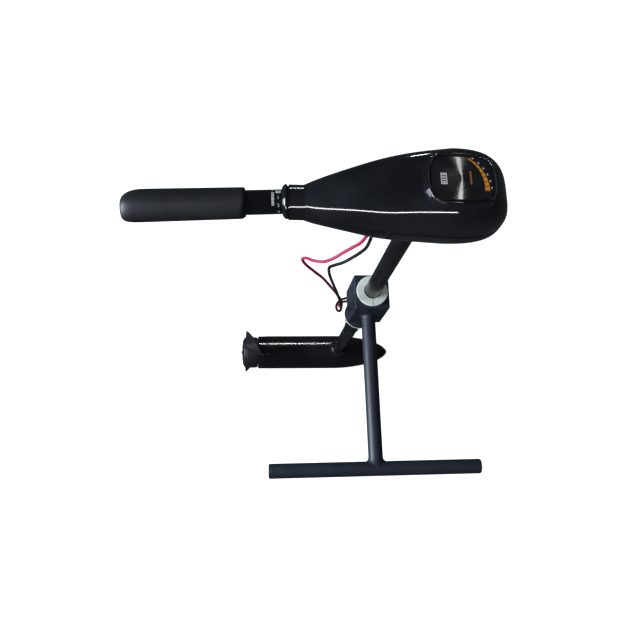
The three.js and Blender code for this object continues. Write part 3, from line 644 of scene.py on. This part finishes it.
def block_surface():
    """Rings of radius r(z) round the boss and bore, and of rounded squares up the block, by shared angles."""
    square = rounded_square(BLOCK_HALF, BLOCK_CORNER)
    way = square / np.linalg.norm(square, axis=1)[:, None]
    boss = soften([[20.5, -97], [21.5, -98], [27.6, -98], [29, -96.6], [29, -47.6]], 0.7)
    bore = soften([[24, 49], [21.4, 49], [20.5, 48.1], [20.5, 0], [20.5, -97]], 0.4)[:-1]
    rings = [(way * r, z) for r, z in boss]
    rings += [(way * 29.6, -46.6), (way * 30.6, -46.0)]
    for inset, z in ((2.2, -46), (1.3, -45.8), (0.5, -45.2), (0.1, -44.4), (0, -43.2), (0, -20), (0, 20),
                     (0, 46.2), (0.1, 47.4), (0.5, 48.2), (1.3, 48.8), (2.2, 49)):
        rings.append((rounded_square(BLOCK_HALF - inset, max(BLOCK_CORNER - inset, 0.8)), z))
    rings += [(way * r, z) for r, z in bore]
    points = np.array([np.column_stack([xy + [0, SHAFT_Y], np.full(len(xy), z)]) for xy, z in rings])
    return grid(points, rows_close=True)


piece("steering_block", [block_surface()], slate_paint, "bracket", ("pivot_block",))


# %% [markdown]
# The bushes are split nylon sleeves. The saw slot lets them close on the shaft, and it shows as a fine
# line across the flange. The rings stop short of a full turn there.


# %% Bushes
def split_ring(profile, slot_width=1.2, sides=120):
    """A lathe ring with a parallel-sided slot at -Y."""
    p = np.asarray(profile, float)
    half = np.arcsin(slot_width / 2 / p[:, 0])[:, None]
    share = np.linspace(0, 1, sides)[None]
    angle = -np.pi / 2 + half + share * (TAU - 2 * half)
    points = np.stack([p[:, :1] * np.cos(angle), p[:, :1] * np.sin(angle) + SHAFT_Y,
                       np.broadcast_to(p[:, 1:], angle.shape)], -1)
    return grid(points.transpose(1, 0, 2), columns_close=True)


upper = soften([[14.7, 4], [20.2, 4], [20.2, 49.3], [28.5, 49.3], [28.5, 54.5], [14.7, 54.5]], 1.0,
               closed=True)
lower = soften([[14.7, -58], [20.2, -58], [20.2, -98.3], [28.5, -98.3], [28.5, -101.3], [14.7, -101.3]], 0.8,
               closed=True)
piece("upper_sleeve", [split_ring(upper)], white_nylon, "sleeve", ("upper_bush",))
piece("lower_sleeve", [split_ring(lower)], white_nylon, "sleeve", ("lower_bush",))

# %% [markdown]
# # Shaft and motor pod
# The shaft is one painted tube, long enough to reach from inside the head down into the pod's socket.
# Its ends are hidden there, so a plain lathe ring with softened edges is all that it needs.

# %% Shaft
shaft = soften([[11.5, -383.7], [14.3, -383.7], [14.3, 440], [11.5, 440]], 0.6, closed=True)
piece("long_shaft", [turned(shaft, "z", (0, SHAFT_Y, 0), closed=True)], shaft_black, "drive",
      ("main_shaft",))

# %% [markdown]
# The pod is a turned housing with a cast socket for the shaft, closed by an end cap at the propeller and
# by a nose. It keeps one diameter over the magnets and tapers ahead of the shaft. The housing is open
# inside, so each profile runs out along the outside and back along the bore. The nose has no bore to
# show, so its profile ends on its own axis.

# %% Motor housing, end cap and nose
POD = (0, SHAFT_Y, MOTOR_Z)
housing = soften([[35.2, -172.7], [39.2, -172.7], [39.5, -171], [39.5, -100], [39.5, -40], [39.5, -5],
                  [39.1, 10], [38.05, 24], [35.2, 24]], 0.5, closed=True)
socket = soften([[14.6, 38], [14.6, 55], [17.9, 55], [19.6, 53.4], [20.5, 51.5], [19.6, 49.6], [18.6, 48.2],
                 [19.6, 47.2], [21.5, 45.2], [19.6, 43], [19.4, 40], [20.8, 36], [24, 33.5], [24, 30],
                 [14.6, 30]], 0.7, closed=True)
piece("motor_can", [turned(housing, "x", POD, 128, True), turned(socket, "z", POD, 96, True)],
      enamel_black, "drive", ("motor_housing",))
end_cap = soften([[12, -193], [37.3, -193], [39.3, -191], [39.3, -184.5], [38.7, -184.2], [38.7, -183],
                  [39.3, -182.7], [39.3, -173.1], [34.9, -173.0], [34.9, -165], [11.3, -165], [11.3, -175],
                  [6, -175], [6, -185], [12, -185]], 0.5, closed=True)
piece("rear_cap", [turned(end_cap, "x", POD, 128, True)], enamel_black, "drive", ("motor_end_cap",))
nose_x = np.r_[24.3, np.linspace(26, 123.6, 48)]
nose_r = through([24.3, 35, 47, 59, 70, 82, 94, 105, 114, 119, 122.5, 124],
                 [38.0, 36.8, 35, 33, 30.5, 27.2, 23.2, 18.5, 13, 8.5, 4.5, 0.3], nose_x)
nose = np.vstack([[[0.4, 17]], [[34.4, 17]], [[34.9, 18]], [[34.9, 24.3]],
                  np.column_stack([nose_r, nose_x])])
piece("nose", [turned(nose, "x", POD, 128)], enamel_black, "drive", ("nose_cone",))

# %% [markdown]
# # Propeller
# The propeller is one plastic moulding: a hub with two blades. Each blade is a stack of thin curved
# sections. The pitch falls towards the tip, so that every part of the blade screws through the water at
# the same rate. A nut holds the hub against the pin that drives it.

# %% Propeller
def blade_surface(way):
    """Sections at radius r, with a the angle round a section: along = half chord x cos a, and
    over = half thickness x sin a (to a power) + camber x sin^2 a, both then turned by the pitch.
    way is 1 or -1, which turns the second blade half a turn about the axis.
    """
    r = np.array([31, 33.5, 36, 40, 50, 60, 70, 80, 90, 98, 106, 112, 117, 120, 121.0])
    chord = through([31, 50, 70, 92, 106, 116, 121], [33, 45, 56, 64, 60, 44, 17], r)
    pitch = np.radians(through([31, 50, 70, 90, 121], [43, 38, 35, 33, 31], r))
    centre = through([31, 45, 60, 80, 121], [-212, -211.5, -209, -206, -205], r)[:, None]
    thick = through([31, 36, 50, 70, 90, 121], [10, 6.2, 4.6, 3.6, 2.9, 1.5], r)
    angle = np.arange(48) / 48 * TAU
    along = np.cos(angle)[None] * chord[:, None] / 2
    lens = np.sign(np.sin(angle)) * np.abs(np.sin(angle)) ** 0.8
    over = lens[None] * thick[:, None] / 2 + 0.06 * chord[:, None] * (1 - np.cos(angle)[None] ** 2)
    cos, sin = np.cos(pitch)[:, None], np.sin(pitch)[:, None]
    x = centre - along * sin + over * cos
    y = along * cos + over * sin
    z = np.broadcast_to(r[:, None], x.shape)
    return grid(np.stack([x, SHAFT_Y + way * y, MOTOR_Z + way * z], -1))


hub = soften([[5.4, -197], [11, -197], [11, -213], [33.4, -213], [34.3, -194.2], [36.4, -194.2], [37.2, -203],
              [37.1, -217], [35.4, -225.5], [28, -229.5], [14, -231], [12.2, -229.5], [12.2, -223.5],
              [5.4, -223.5]], 1.2, closed=True)
piece("two_blade_propeller", [turned(hub, "x", POD, 128, True), blade_surface(1), blade_surface(-1)],
      moulded_black, "propeller", ("propeller",))
nut_angle = np.arange(72) / 72 * TAU
hexagon = 6.5 / np.cos((nut_angle + np.pi / 6) % (np.pi / 3) - np.pi / 6)
nut_rings = [(4.2, -231, 0), (6.2, -231, 0), (1.0, -230.3, 1), (1.0, -224.6, 1), (6.4, -224.1, 0),
             (4.2, -224.1, 0)]
nut_points = np.array([np.column_stack([
    np.full(72, x), SHAFT_Y + (hexagon * r if is_hex else np.full(72, r)) * np.cos(nut_angle),
    MOTOR_Z + (hexagon * r if is_hex else np.full(72, r)) * np.sin(nut_angle)]) for r, x, is_hex in nut_rings])
piece("hexagon_nut", [grid(nut_points, rows_close=True)], bright_steel, "propeller", ("prop_nut",))

# %% [markdown]
# # Control head
# The head is a pair of shells. Its section goes from a circle at the neck to a squared oval over the
# shaft. Across the section, with c and s the cosine and sine of an angle and n the squareness:
# width = half width x sign(c) |c|^(2/n), height = reach x sign(s) |s|^(2/n), and the mid height, where
# the shells part, lies nearer the bottom. The blunt end closes as a superellipse in plan and in side view.

# %% Head shape
HEAD_X = [-177, -159, -154, -147, -134, -100, -60, -20, 24]
HEAD_HALF = [23, 23, 24.4, 26.8, 30.4, 38.5, 46.9, 51.4, 54.9]
HEAD_LOW = [391, 391, 390.8, 390.5, 390, 388, 387, 387, 387]
HEAD_HIGH = [437, 437, 438.2, 441, 447, 461, 474, 486, 493.8]
HEAD_SQUARE = [2, 2, 2.1, 2.25, 2.45, 2.9, 3.4, 3.6, 3.6]
FULL_X, END_X, END_Z = 24.0, 108.5, 404.0
SEAM_SHARE = 0.42
PLAN_POWER, SIDE_POWER = 2.83, 2.4


def head_sizes(x):
    """Half width, lowest, highest and squareness of the head at each x."""
    flat = np.minimum(x, FULL_X)
    half, low, high, square = (through(HEAD_X, v, flat) for v in (HEAD_HALF, HEAD_LOW, HEAD_HIGH, HEAD_SQUARE))
    share = np.clip((x - FULL_X) / (END_X - FULL_X), 0, 1)
    plan = (1 - share**PLAN_POWER) ** (1 / PLAN_POWER)
    side_view = (1 - share**SIDE_POWER) ** (1 / SIDE_POWER)
    return half * plan, END_Z + (low - END_Z) * side_view, END_Z + (high - END_Z) * side_view, square


def head_skin(x, angle, inset=0.0):
    """The formula above at every x and angle. The sides lean in towards the top by a twentieth."""
    half, low, high, square = (v[:, None] for v in head_sizes(x))
    c, s = np.cos(angle)[None], np.sin(angle)[None]
    across = np.sign(c) * np.abs(c) ** (2 / square)
    up = np.sign(s) * np.abs(s) ** (2 / square)
    middle = low + SEAM_SHARE * (high - low)
    reach = np.where(up > 0, high - middle, middle - low)
    half, reach = np.maximum(half - inset, 0.3), np.maximum(reach - inset, 0.3)
    y = half * across * (1 - 0.05 * np.maximum(up, 0))
    return np.stack([np.broadcast_to(x[:, None], y.shape), SHAFT_Y + y, middle + reach * up], -1)


def even_angles(first, last, count, square=3.0):
    """Angles that put points at even distances round a squared circle."""
    fine = np.linspace(first, last, 4000)
    c, s = np.cos(fine), np.sin(fine)
    x, y = np.sign(c) * np.abs(c) ** (2 / square), np.sign(s) * np.abs(s) ** (2 / square)
    length = np.r_[0, np.cumsum(np.hypot(np.diff(x), np.diff(y)))]
    return np.interp(np.linspace(0, length[-1], count), length, fine)


def shell(first, last, count=90):
    """One half of the head as a closed wall: out along the outside, back along the inside."""
    x = np.r_[np.linspace(-177, -161, 5), np.linspace(-160, -146, 12), np.linspace(-144, 22, 64),
              FULL_X + (END_X - FULL_X) * np.sin(np.linspace(0.02, np.pi / 2 - 0.015, 46))]
    angle = even_angles(first, last, count)
    outside = head_skin(x, angle)
    lip = head_skin(x, angle[[-1, 0]], 0.9)
    inside = head_skin(x, angle[::-1], 2.6)
    return grid(np.concatenate([outside, lip[:, :1], inside, lip[:, 1:]], axis=1))


SEAM = 0.0016
for name, node, first, last in (("head_lower_shell", "head_base", -np.pi + SEAM, -SEAM),
                                ("head_upper_shell", "head_cover", SEAM, np.pi - SEAM)):
    piece(name, [shell(first, last)], head_black, "drive", (node,), 40)

# %% [markdown]
# The display sits on a low plateau. Its outline is bowed towards the tiller and rounded at the corners,
# and the side of the plateau runs down into whatever height the shell has there. Rings of one outline,
# each a little further in, make the frame, and the same rings go on inwards to make the window.


# %% Display plateau
PANEL_Y = -3.5


def panel_outline(inset, count=160):
    """A closed curve through the panel's corners, moved inwards by inset."""
    near = np.array([[-17, 0], [-15.5, -17], [-5, -34.5], [26, -35.5], [55, -34], [71, -27], [73, 0]], float)
    corners = np.vstack([near, near[-2:0:-1] * [1, -1]])
    fine = spline_loop(corners, 40)
    length = np.r_[0, np.cumsum(np.linalg.norm(np.diff(np.vstack([fine, fine[:1]]), axis=0), axis=1))]
    even = np.linspace(0, length[-1], count, endpoint=False)
    loop = np.column_stack([np.interp(even, length, np.r_[fine[:, k], fine[0, k]]) for k in range(2)])
    along = np.roll(loop, -1, 0) - np.roll(loop, 1, 0)
    along /= np.linalg.norm(along, axis=1)[:, None]
    normal = np.column_stack([along[:, 1], -along[:, 0]])
    return loop - normal * inset + [0, PANEL_Y]


def shell_height(x, y):
    """How high the upper shell is above a point of its plan."""
    half, low, high, square = head_sizes(x)
    middle = low + SEAM_SHARE * (high - low)
    share = np.clip(np.abs(y) / np.maximum(half * 0.955, 1), 0, 0.995)
    return middle + (high - middle) * (1 - share**square) ** (1 / square)


def plateau_height(x):
    """The height of the plateau's top, a shallow parabola along the head with its crown at x = 20."""
    return 495.6 - 0.0006 * (x - 20) ** 2


def plateau(rings):
    """Rings of [inset, share of the way up from the shell, extra height]."""
    made = []
    for inset, share, extra in rings:
        loop = panel_outline(inset)
        low, high = shell_height(*loop.T), plateau_height(loop[:, 0])
        made.append(np.column_stack([loop[:, 0], loop[:, 1] + SHAFT_Y, low + (high - low) * share + extra]))
    return np.array(made)


bezel_rings = plateau([
    (-3.5, 0, -3), (-2.6, 0, 0.1), (-1.6, 0.12, 0.2), (-0.7, 0.5, 0), (-0.2, 0.85, 0), (0.3, 0.97, 0.3),
    (1.0, 1, 0.6), (2.2, 1, 0.8), (3.4, 1, 0.6), (4.2, 1, 0.2), (4.6, 1, -0.3), (4.9, 1, -1.2), (4.9, 1, -3.2),
    (8, 1, -3.4)])
piece("display_frame", [grid(bezel_rings)], head_black, "drive", ("display_bezel",), 60)
window_edge = plateau([(5.2, 1, -3.0), (5.2, 1, -0.75), (5.4, 1, -0.45), (5.9, 1, -0.25), (7, 1, -0.2)])
middle = np.array([28.0, SHAFT_Y + PANEL_Y, plateau_height(28.0)])
shrink = np.linspace(0.94, 0.03, 14)[:, None, None]
window_rings = np.concatenate([window_edge, middle + (window_edge[-1] - middle) * shrink])


# %% [markdown]
# The gauge is printed under the window: an orange crescent that widens with speed, with white ticks
# outside it, a row of orange bars and a battery sign. A picture could be laid on the window, but it would
# have edges of its own size. Here each printed shape is a field of distances, cut off by soft steps, so it
# is sharp at any distance.

# %% Display print
def display_print():
    """The crescent lies round (14, -14), further out than 47 less a width that grows with the angle.

    A stretch of x or of y is 1 inside and 0 outside, so a product of two is a rectangle, and a product with
    the sine of the distance along it is a row of bars.
    """
    recipe = Recipe("display print", base_color=(0.006, 0.007, 0.008), roughness=0.12, coat_weight=0.4)
    x, y, _ = recipe.parts(recipe.place())
    x, y = x * 1000, y * 1000 - (SHAFT_Y + PANEL_Y)
    dx, dy = x - 14.0, y + 14.0
    distance = (dx * dx + dy * dy).math("SQRT")
    angle = dy.math("ARCTAN2", dx)
    soft = 0.25
    grow = angle.scaled(1.05, -0.05, 0.8, 6.0)
    inner = 47.0 - grow
    inside = recipe.node("ShaderNodeMath", {"operation": "GREATER_THAN"}, {0: distance, 1: inner})
    band = inside * distance.between(10.0, 47.5, soft) * angle.between(-0.05, 1.05, 0.01)
    teeth = (angle * 46.0).math("SINE").scaled(-0.75, -0.55, 0.35, 1.0)
    ticks = (angle * 34.5).math("SINE").scaled(0.55, 0.8) * distance.between(49.6, 50.9, soft) \
        * angle.between(-0.06, 1.1, 0.01)
    bars = x.between(37.5, 39.5, soft) * y.between(-9.0, 9.0, soft) * (y * 2.4).math("SINE").scaled(-0.2, 0.1)
    battery = x.between(1.0, 8.5, soft) * y.between(-8.5, 6.5, soft)
    hollow = x.between(2.0, 7.5, soft) * y.between(-7.5, 5.5, soft)
    cells = x.between(2.8, 6.7, soft) * y.between(-6.7, 4.7, soft) * (y * 1.9).math("SINE").scaled(-0.1, 0.2)
    icon = (battery - hollow) + cells
    base = recipe.mix(recipe.noise(40, 3.0).scaled(0.3, 0.8), (0.006, 0.007, 0.008), (0.011, 0.012, 0.013))
    orange = recipe.mix(teeth, (0.16, 0.05, 0.01), (0.85, 0.30, 0.03))
    base = recipe.mix(band, base, orange)
    base = recipe.mix(bars, base, (0.75, 0.26, 0.03))
    base = recipe.mix(icon + ticks, base, (0.8, 0.8, 0.78))
    return recipe.set(base_color=base, roughness=recipe.noise(30, 3.0).scaled(0.4, 0.7, 0.06, 0.14))


piece("gauge_window", [grid(window_rings)], display_print(), "drive", ("display_window",),
      60)

# %% [markdown]
# The grommet is a tapered rubber sleeve that holds the two leads in the underside of the head. The cable
# tie is a belt pulled tight round the shaft and both hanks. Such a belt is straight lines that touch the
# round things it passes and arcs round them, which a hand-drawn loop would only come near to.

# %% Grommet and cable tie
grommet = soften([[5.7, GROMMET_MOUTH], [7.0, GROMMET_MOUTH], [7.4, 381], [8.7, 385.5], [8.9, 391],
                  [5.7, 391]], 0.6, closed=True)
piece("cable_grommet", [turned(grommet, "z", (-63, SHAFT_Y - 20, 0), 48, True)], seal_rubber, "drive",
      ("lead_grommet",))


def belt(rollers, extra, per_arc=20):
    """The line of a belt stretched round rollers listed anticlockwise, each [x, y, radius]."""
    r = np.array(rollers, float)
    r[:, 2] += extra
    after = np.roll(r, -1, 0)
    gap = after[:, :2] - r[:, :2]
    along = np.arctan2(gap[:, 1], gap[:, 0])
    leave = along - np.arccos((r[:, 2] - after[:, 2]) / np.linalg.norm(gap, axis=1))
    arrive = np.roll(leave, 1)
    sweep = (leave - arrive) % TAU
    share = np.linspace(0, 1, per_arc)
    angle = arrive[:, None] + sweep[:, None] * share
    points = r[:, None, :2] + r[:, None, 2:] * np.stack([np.cos(angle), np.sin(angle)], -1)
    return points.reshape(-1, 2)


tie_rollers = [[0, 0, 15], [33.5, 24, 3], [33.5, 50.5, 3], [2.5, 50.5, 3]]
tie_rings = np.array([np.column_stack([belt(tie_rollers, extra) + [0, SHAFT_Y], np.full(80, z)])
                      for extra, z in ((0.4, -178.3), (0.6, -178.5), (1.4, -178.5), (1.6, -178.2),
                                       (1.6, -174.3), (1.4, -174), (0.6, -174), (0.4, -174.2))])
piece("nylon_tie", [grid(tie_rings, rows_close=True)], black_vinyl, "drive", ("cable_tie",))

# %% [markdown]
# # Tiller
# The tiller droops a little from the neck. A twist of the grip turns the tube, and the numbers on the
# tube pass the mark on the collar. The grip also pulls out along the tube for a longer reach. Three
# directions of the tiller's own carry all of its pieces, so the droop is one number.

# %% Tiller frame
NECK = np.array([-177.0, SHAFT_Y, 413.6])
DROOP = np.radians(5.8)
OUT = np.array([-np.cos(DROOP), 0, -np.sin(DROOP)])
BACK = np.array([0.0, 1.0, 0.0])
OVER = np.array([-np.sin(DROOP), 0, np.cos(DROOP)])


def on_tiller(across, over, along):
    """Points from distances towards the far side, upwards, and out along the tiller."""
    across, over, along = np.broadcast_arrays(across, over, along)
    return NECK + across[..., None] * BACK + over[..., None] * OVER + along[..., None] * OUT


def tiller_turned(profile, sides=112):
    """A lathe surface about the tiller's line. The profile is [radius, distance out along it]."""
    radius, along = np.asarray(profile, float).T
    angle = np.arange(sides) / sides * TAU
    return grid(on_tiller(radius[:, None] * np.cos(angle), radius[:, None] * np.sin(angle), along[:, None]),
                rows_close=True)


collar = soften([[12.5, -3], [19.9, -3], [19.9, 1.0], [22.3, 1.6], [22.7, 3.0], [22.2, 4.6], [20.9, 6.3],
                 [18.9, 7.8], [16.9, 8.6], [12.5, 8.6]], 0.8, closed=True)
piece("neck_collar", [tiller_turned(collar)], head_black, "drive", ("tiller_collar",))
TWIST_R = 16.0
tube = soften([[4.4, -14], [12, -14], [12, 8.9], [TWIST_R, 8.9], [TWIST_R, 200], [13, 200], [13, 14],
               [4.4, 14]], 0.5, closed=True)
piece("twist_tube", [tiller_turned(tube)], head_black, "tiller", ("tiller_tube",))

# %% [markdown]
# The grip is a rubber sleeve over the tube. Its section is a smooth curve pulled towards eight control
# points, flat on top and under, which keeps the hand from slipping. It swells a little towards its far
# end, which is rounded more on the far side. Scaling one section along its length gives all of this.

# %% Grip
GRIP_SECTION = np.array([[19.5, 9.5], [4, 19.6], [-9, 19.6], [-20.5, 9.5], [-20.5, -8], [-11, -19], [11, -19],
                         [20.5, -8]], float)


GRIP_MOUTH, DOME_START, DOME_LONG = 56.0, 184.0, 30.5


def grip_surface():
    """The section times a scale at each distance out. With e the share of the way along the end's dome,
    the scale falls as (1 - e^n)^(1/n), with its own n on the near side, the far side and in height.
    """
    section = spline_loop(GRIP_SECTION)
    dome = DOME_START + DOME_LONG * np.sin(np.linspace(0.03, np.pi / 2, 26))
    along = np.r_[GRIP_MOUTH, 56.4, 57.4, 59, np.linspace(61, DOME_START, 40), dome]
    end = np.clip((along - DOME_START) / DOME_LONG, 0, 1)
    start = np.interp(along, [GRIP_MOUTH, 56.4, 57.4, 59], [0.94, 0.965, 0.99, 1.0])
    swell = 1.01 + 0.055 * np.clip((along - 60) / 130, 0, 1)
    far = (1 - end**2.3) ** (1 / 2.3) * 0.82 + 0.18
    near = ((1 - end**5.0) ** (1 / 5.0) * 0.62 + 0.38) * np.interp(along, [GRIP_MOUTH, 61], [0.88, 1.0])
    tall = (1 - end**3.4) ** (1 / 3.4) * 0.7 + 0.3
    shape = section[None] * (swell * start)[:, None, None]
    far, near, tall = far[:, None], near[:, None], tall[:, None]
    across = np.where(shape[..., 0] > 0, shape[..., 0] * far, shape[..., 0] * near)
    outside = on_tiller(across, shape[..., 1] * tall, along[:, None])
    bore_along = np.array([206.0, 190, 120, 70, 57.2, 56.3])
    bore_r = np.array([16.4, 16.4, 16.4, 16.4, 16.5, 17.2])
    angle = np.arctan2(section[:, 1], section[:, 0])
    bore = on_tiller(bore_r[:, None] * np.cos(angle), bore_r[:, None] * np.sin(angle), bore_along[:, None])
    points, faces = grid(np.concatenate([outside, bore]), caps=False)
    m, n = len(outside), len(section)
    faces = [f for f in faces if not (min(f) >= (m - 1) * n and max(f) < (m + 1) * n)]
    faces += [list(range((m - 1) * n, m * n)), list(range(m * n, (m + 1) * n))[::-1]]
    faces += [[j, (j + 1) % n, (m + 5) * n + (j + 1) % n, (m + 5) * n + j][::-1] for j in range(n)]
    return points, faces


piece("rubber_grip", [grip_surface()], grip_rubber, "grip", ("tiller_grip",), 50)


# %% [markdown]
# The numbers are printed round the tube. Each is drawn flat as a font outline, then wrapped on the
# cylinder: the height of a letter becomes an angle. A figure's faces are flat, so they would dip under
# the tube in their middle, and the layer stands a fraction of a millimetre off it.

# %% Printed numbers
def flat_text(text, size):
    """A filled font outline as points and faces, centred, in millimetres."""
    curve = bpy.data.curves.new("figure", "FONT")
    curve.body, curve.size, curve.align_x, curve.align_y = text, size, "CENTER", "CENTER"
    curve.resolution_u = 3
    shape = bpy.data.objects.new("figure", curve)
    bpy.context.scene.collection.objects.link(shape)
    bpy.context.view_layer.update()
    mesh = shape.to_mesh()
    points = np.empty(len(mesh.vertices) * 3)
    mesh.vertices.foreach_get("co", points)
    faces = [list(p.vertices) for p in mesh.polygons]
    shape.to_mesh_clear()
    bpy.data.objects.remove(shape)
    bpy.data.curves.remove(curve)
    return points.reshape(-1, 3)[:, :2], faces


def printed(flat, faces, along, angle, lift):
    """Flat print wrapped on the tube: its x over the radius is an angle, and its y runs out along the tube."""
    around = angle + flat[:, 0] / TWIST_R
    r = TWIST_R + lift
    return on_tiller(r * np.cos(around), r * np.sin(around), along + flat[:, 1]), faces


def stroke(across, along, steps=10):
    """A flat printed bar, cut into strips so that it can bend round the tube."""
    x = np.linspace(-across / 2, across / 2, steps + 1)
    points = np.column_stack([np.repeat(x, 2), np.tile([-along / 2, along / 2], steps + 1)])
    return points, [[2 * i, 2 * i + 2, 2 * i + 3, 2 * i + 1] for i in range(steps)]


white_print = matt("white print", (0.55, 0.55, 0.58), (0.70, 0.70, 0.72), 0.4, 900)
black_print = matt("black print", (0.006, 0.006, 0.006), (0.010, 0.010, 0.010), 0.35, 900)
white_marks, black_marks = [], []
FIGURES = "321012345"
ZERO_ANGLE, FIGURE_STEP, FIGURE_SIZE = 60, 36, 5.6
FIGURES_AT, TICKS_AT = 13.0, 20.0
BAR_LIFT, FIGURE_LIFT, ZERO_LIFT = 0.06, 0.18, 0.25
for k, figure in enumerate(FIGURES):
    angle = np.radians(ZERO_ANGLE + FIGURE_STEP * (k - FIGURES.index("0")))
    points, faces = flat_text(figure, FIGURE_SIZE)
    points = np.column_stack([-points[:, 1], -points[:, 0]])
    if figure == "0":
        white_marks.append(printed(*stroke(6.4, 6.0), FIGURES_AT, angle, BAR_LIFT))
        black_marks.append(printed(points, faces, FIGURES_AT, angle, ZERO_LIFT))
    else:
        white_marks.append(printed(points, faces, FIGURES_AT, angle, FIGURE_LIFT))
white_marks.append(printed(*stroke(4.6, 3.4), TICKS_AT, np.radians(40), BAR_LIFT))
for k in range(11):
    white_marks.append(printed(*stroke(0.9, 3.4, 2), TICKS_AT, np.radians(68 + 6.2 * k), BAR_LIFT))
placed("speed_marks", white_marks, white_print, "tiller")
placed("zero_mark", black_marks, black_print, "tiller")

# %% [markdown]
# # Inside the pod and the head
# Inside are the magnets and armature, the bearings and seals, the brushes, the screws and the two boards.
# The shells hide them, so they keep their CAD shapes, each in the finish of what it is made of. Anyone
# who opens the model up still finds steel, copper, carbon and ferrite where they belong.

# %% Finishes of the inner pieces
INNER = {
    bright_steel: ["flux_ring", "rotor_shaft", "drive_pin", "rear_bearing", "front_bearing",
                   "through_bolt_left", "through_bolt_right", "head_screw_1", "head_screw_2", "shaft_clamp",
                   "clamp_bolt", "switch_shaft", "brush_spring_upper", "brush_spring_lower"],
    laminated_steel: ["armature_core", "front_bearing_plate"],
    copper_wire: ["winding_rear", "winding_front", "commutator"],
    ferrite: ["magnet_upper", "magnet_lower"],
    carbon: ["brush_plate", "brush_upper", "brush_lower", "switch_body"],
    seal_rubber: ["shaft_seal", "rear_o_ring", "front_o_ring"],
    red_fibre: ["thrust_washer"],
    board_green: ["display_board", "control_board"],
    black_vinyl: ["motor_cable"],
}
for finish, names in INNER.items():
    for name in names:
        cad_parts[name].data.materials.clear()
        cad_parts[name].data.materials.append(finish)
    print(finish.name, "on", len(names), "inner pieces")

# %% [markdown]
# # Floor
# The motor stands over a plain pale floor. A floor that glows a little by itself stays pale right out to
# its edge, and it is kept out of the reflections, where it would turn the gloss black grey.

# %% Floor
FLOOR_HALF, FLOOR_Z = 6, -0.62
floor_mesh = bpy.data.meshes.new("floor")
corners = [(x * FLOOR_HALF, y * FLOOR_HALF, FLOOR_Z) for x, y in ((-1, -1), (1, -1), (1, 1), (-1, 1))]
floor_mesh.from_pydata(corners, [], [(0, 1, 2, 3)])
floor = bpy.data.objects.new("floor", floor_mesh)
bpy.context.scene.collection.objects.link(floor)
pale = Recipe("pale floor", base_color=(0.85, 0.85, 0.85), roughness=0.8, emission_color=(1.0, 1.0, 1.0),
              emission_strength=0.75)
floor_mesh.materials.append(pale.material)
floor.visible_glossy = False
floor.visible_diffuse = False

# %% [markdown]
# # Lights
# Gloss black shows only what it reflects, so the lights are shaped for their reflections: long strips
# draw the bright lines along the ridge and the pod, and one soft panel models the bracket. A strip lights
# only the pieces whose line it draws, as a studio flag would arrange. The white around is bright to the
# lens but dim as a light, so that it doesn't wash the gloss out.


# %% Lights
def panel_light(name, where, target, width, length, power, long_way=(0, 1, 0), color=(1, 1, 1), mirrored=True):
    """A flat lamp aimed at a target: back points away from the target, and right is long_way cross back."""
    data = bpy.data.lights.new(name, "AREA")
    data.shape, data.size, data.size_y, data.energy, data.color = "RECTANGLE", width, length, power, color
    light = bpy.data.objects.new(name, data)
    back = (Vector(where) - Vector(target)).normalized()
    right = Vector(long_way).cross(back).normalized()
    turn = Matrix((right, back.cross(right), back)).transposed()
    light.matrix_world = Matrix.Translation(where) @ turn.to_4x4()
    light.visible_glossy = mirrored
    bpy.context.scene.collection.objects.link(light)
    return light


def only_on(light, *names):
    """Lets a lamp light just these pieces, as a flag between lamp and work does in a studio."""
    group = bpy.data.collections.new(light.name + " lights")
    for name in names:
        group.objects.link(bpy.data.objects[name])
    light.light_linking.receiver_collection = group


panel_light("key", (-2.0, 0.0, 0.78), (0, 0.15, 0), 1.0, 1.0, 96, color=(0.80, 0.88, 1.0))
panel_light("top fill", (-0.3, -0.3, 2.3), (0, 0.2, 0), 1.6, 1.6, 12, mirrored=False)
ridge = panel_light("ridge strip", (-0.75, -1.15, 0.98), (-0.10, 0.26, 0.44), 0.085, 2.2, 32, (1, 0, 0))
only_on(ridge, "head_upper_shell", "head_lower_shell", "display_frame", "neck_collar")
pod = panel_light("pod strip", (0.0, 1.45, 0.56), (-0.08, 0.31, -0.42), 0.03, 0.36, 6, (1, 0, 0))
only_on(pod, "motor_can", "rear_cap", "nose", "two_blade_propeller", "long_shaft")
back = panel_light("back strip", (-0.02, 1.45, 0.60), (-0.08, 0.31, 0.44), 0.03, 0.15, 1.6, (1, 0, 0))
only_on(back, "head_upper_shell", "display_frame", "neck_collar")
band = panel_light("window strip", (0.49, 1.02, 1.74), (0.03, 0.31, 0.49), 0.035, 0.42, 0.5, (0.1, 1, 0))
only_on(band, "gauge_window", "display_frame")
world = bpy.data.worlds.new("studio")
bpy.context.scene.world = world
world.use_nodes = True
sky = world.node_tree
dim = sky.nodes["Background"]
dim.inputs[0].default_value = (0.85, 0.92, 1.0, 1)
ray = sky.nodes.new("ShaderNodeLightPath")
seen = sky.nodes.new("ShaderNodeMath")
seen.operation = "MULTIPLY_ADD"
SEEN_BRIGHT, LIGHT_BRIGHT = 1.0, 0.06
seen.inputs[1].default_value, seen.inputs[2].default_value = SEEN_BRIGHT - LIGHT_BRIGHT, LIGHT_BRIGHT
sky.links.new(ray.outputs["Is Camera Ray"], seen.inputs[0])
sky.links.new(seen.outputs[0], dim.inputs[1])
bpy.context.scene.view_settings.view_transform = "Standard"
print(len(bpy.data.lights), "lamps")
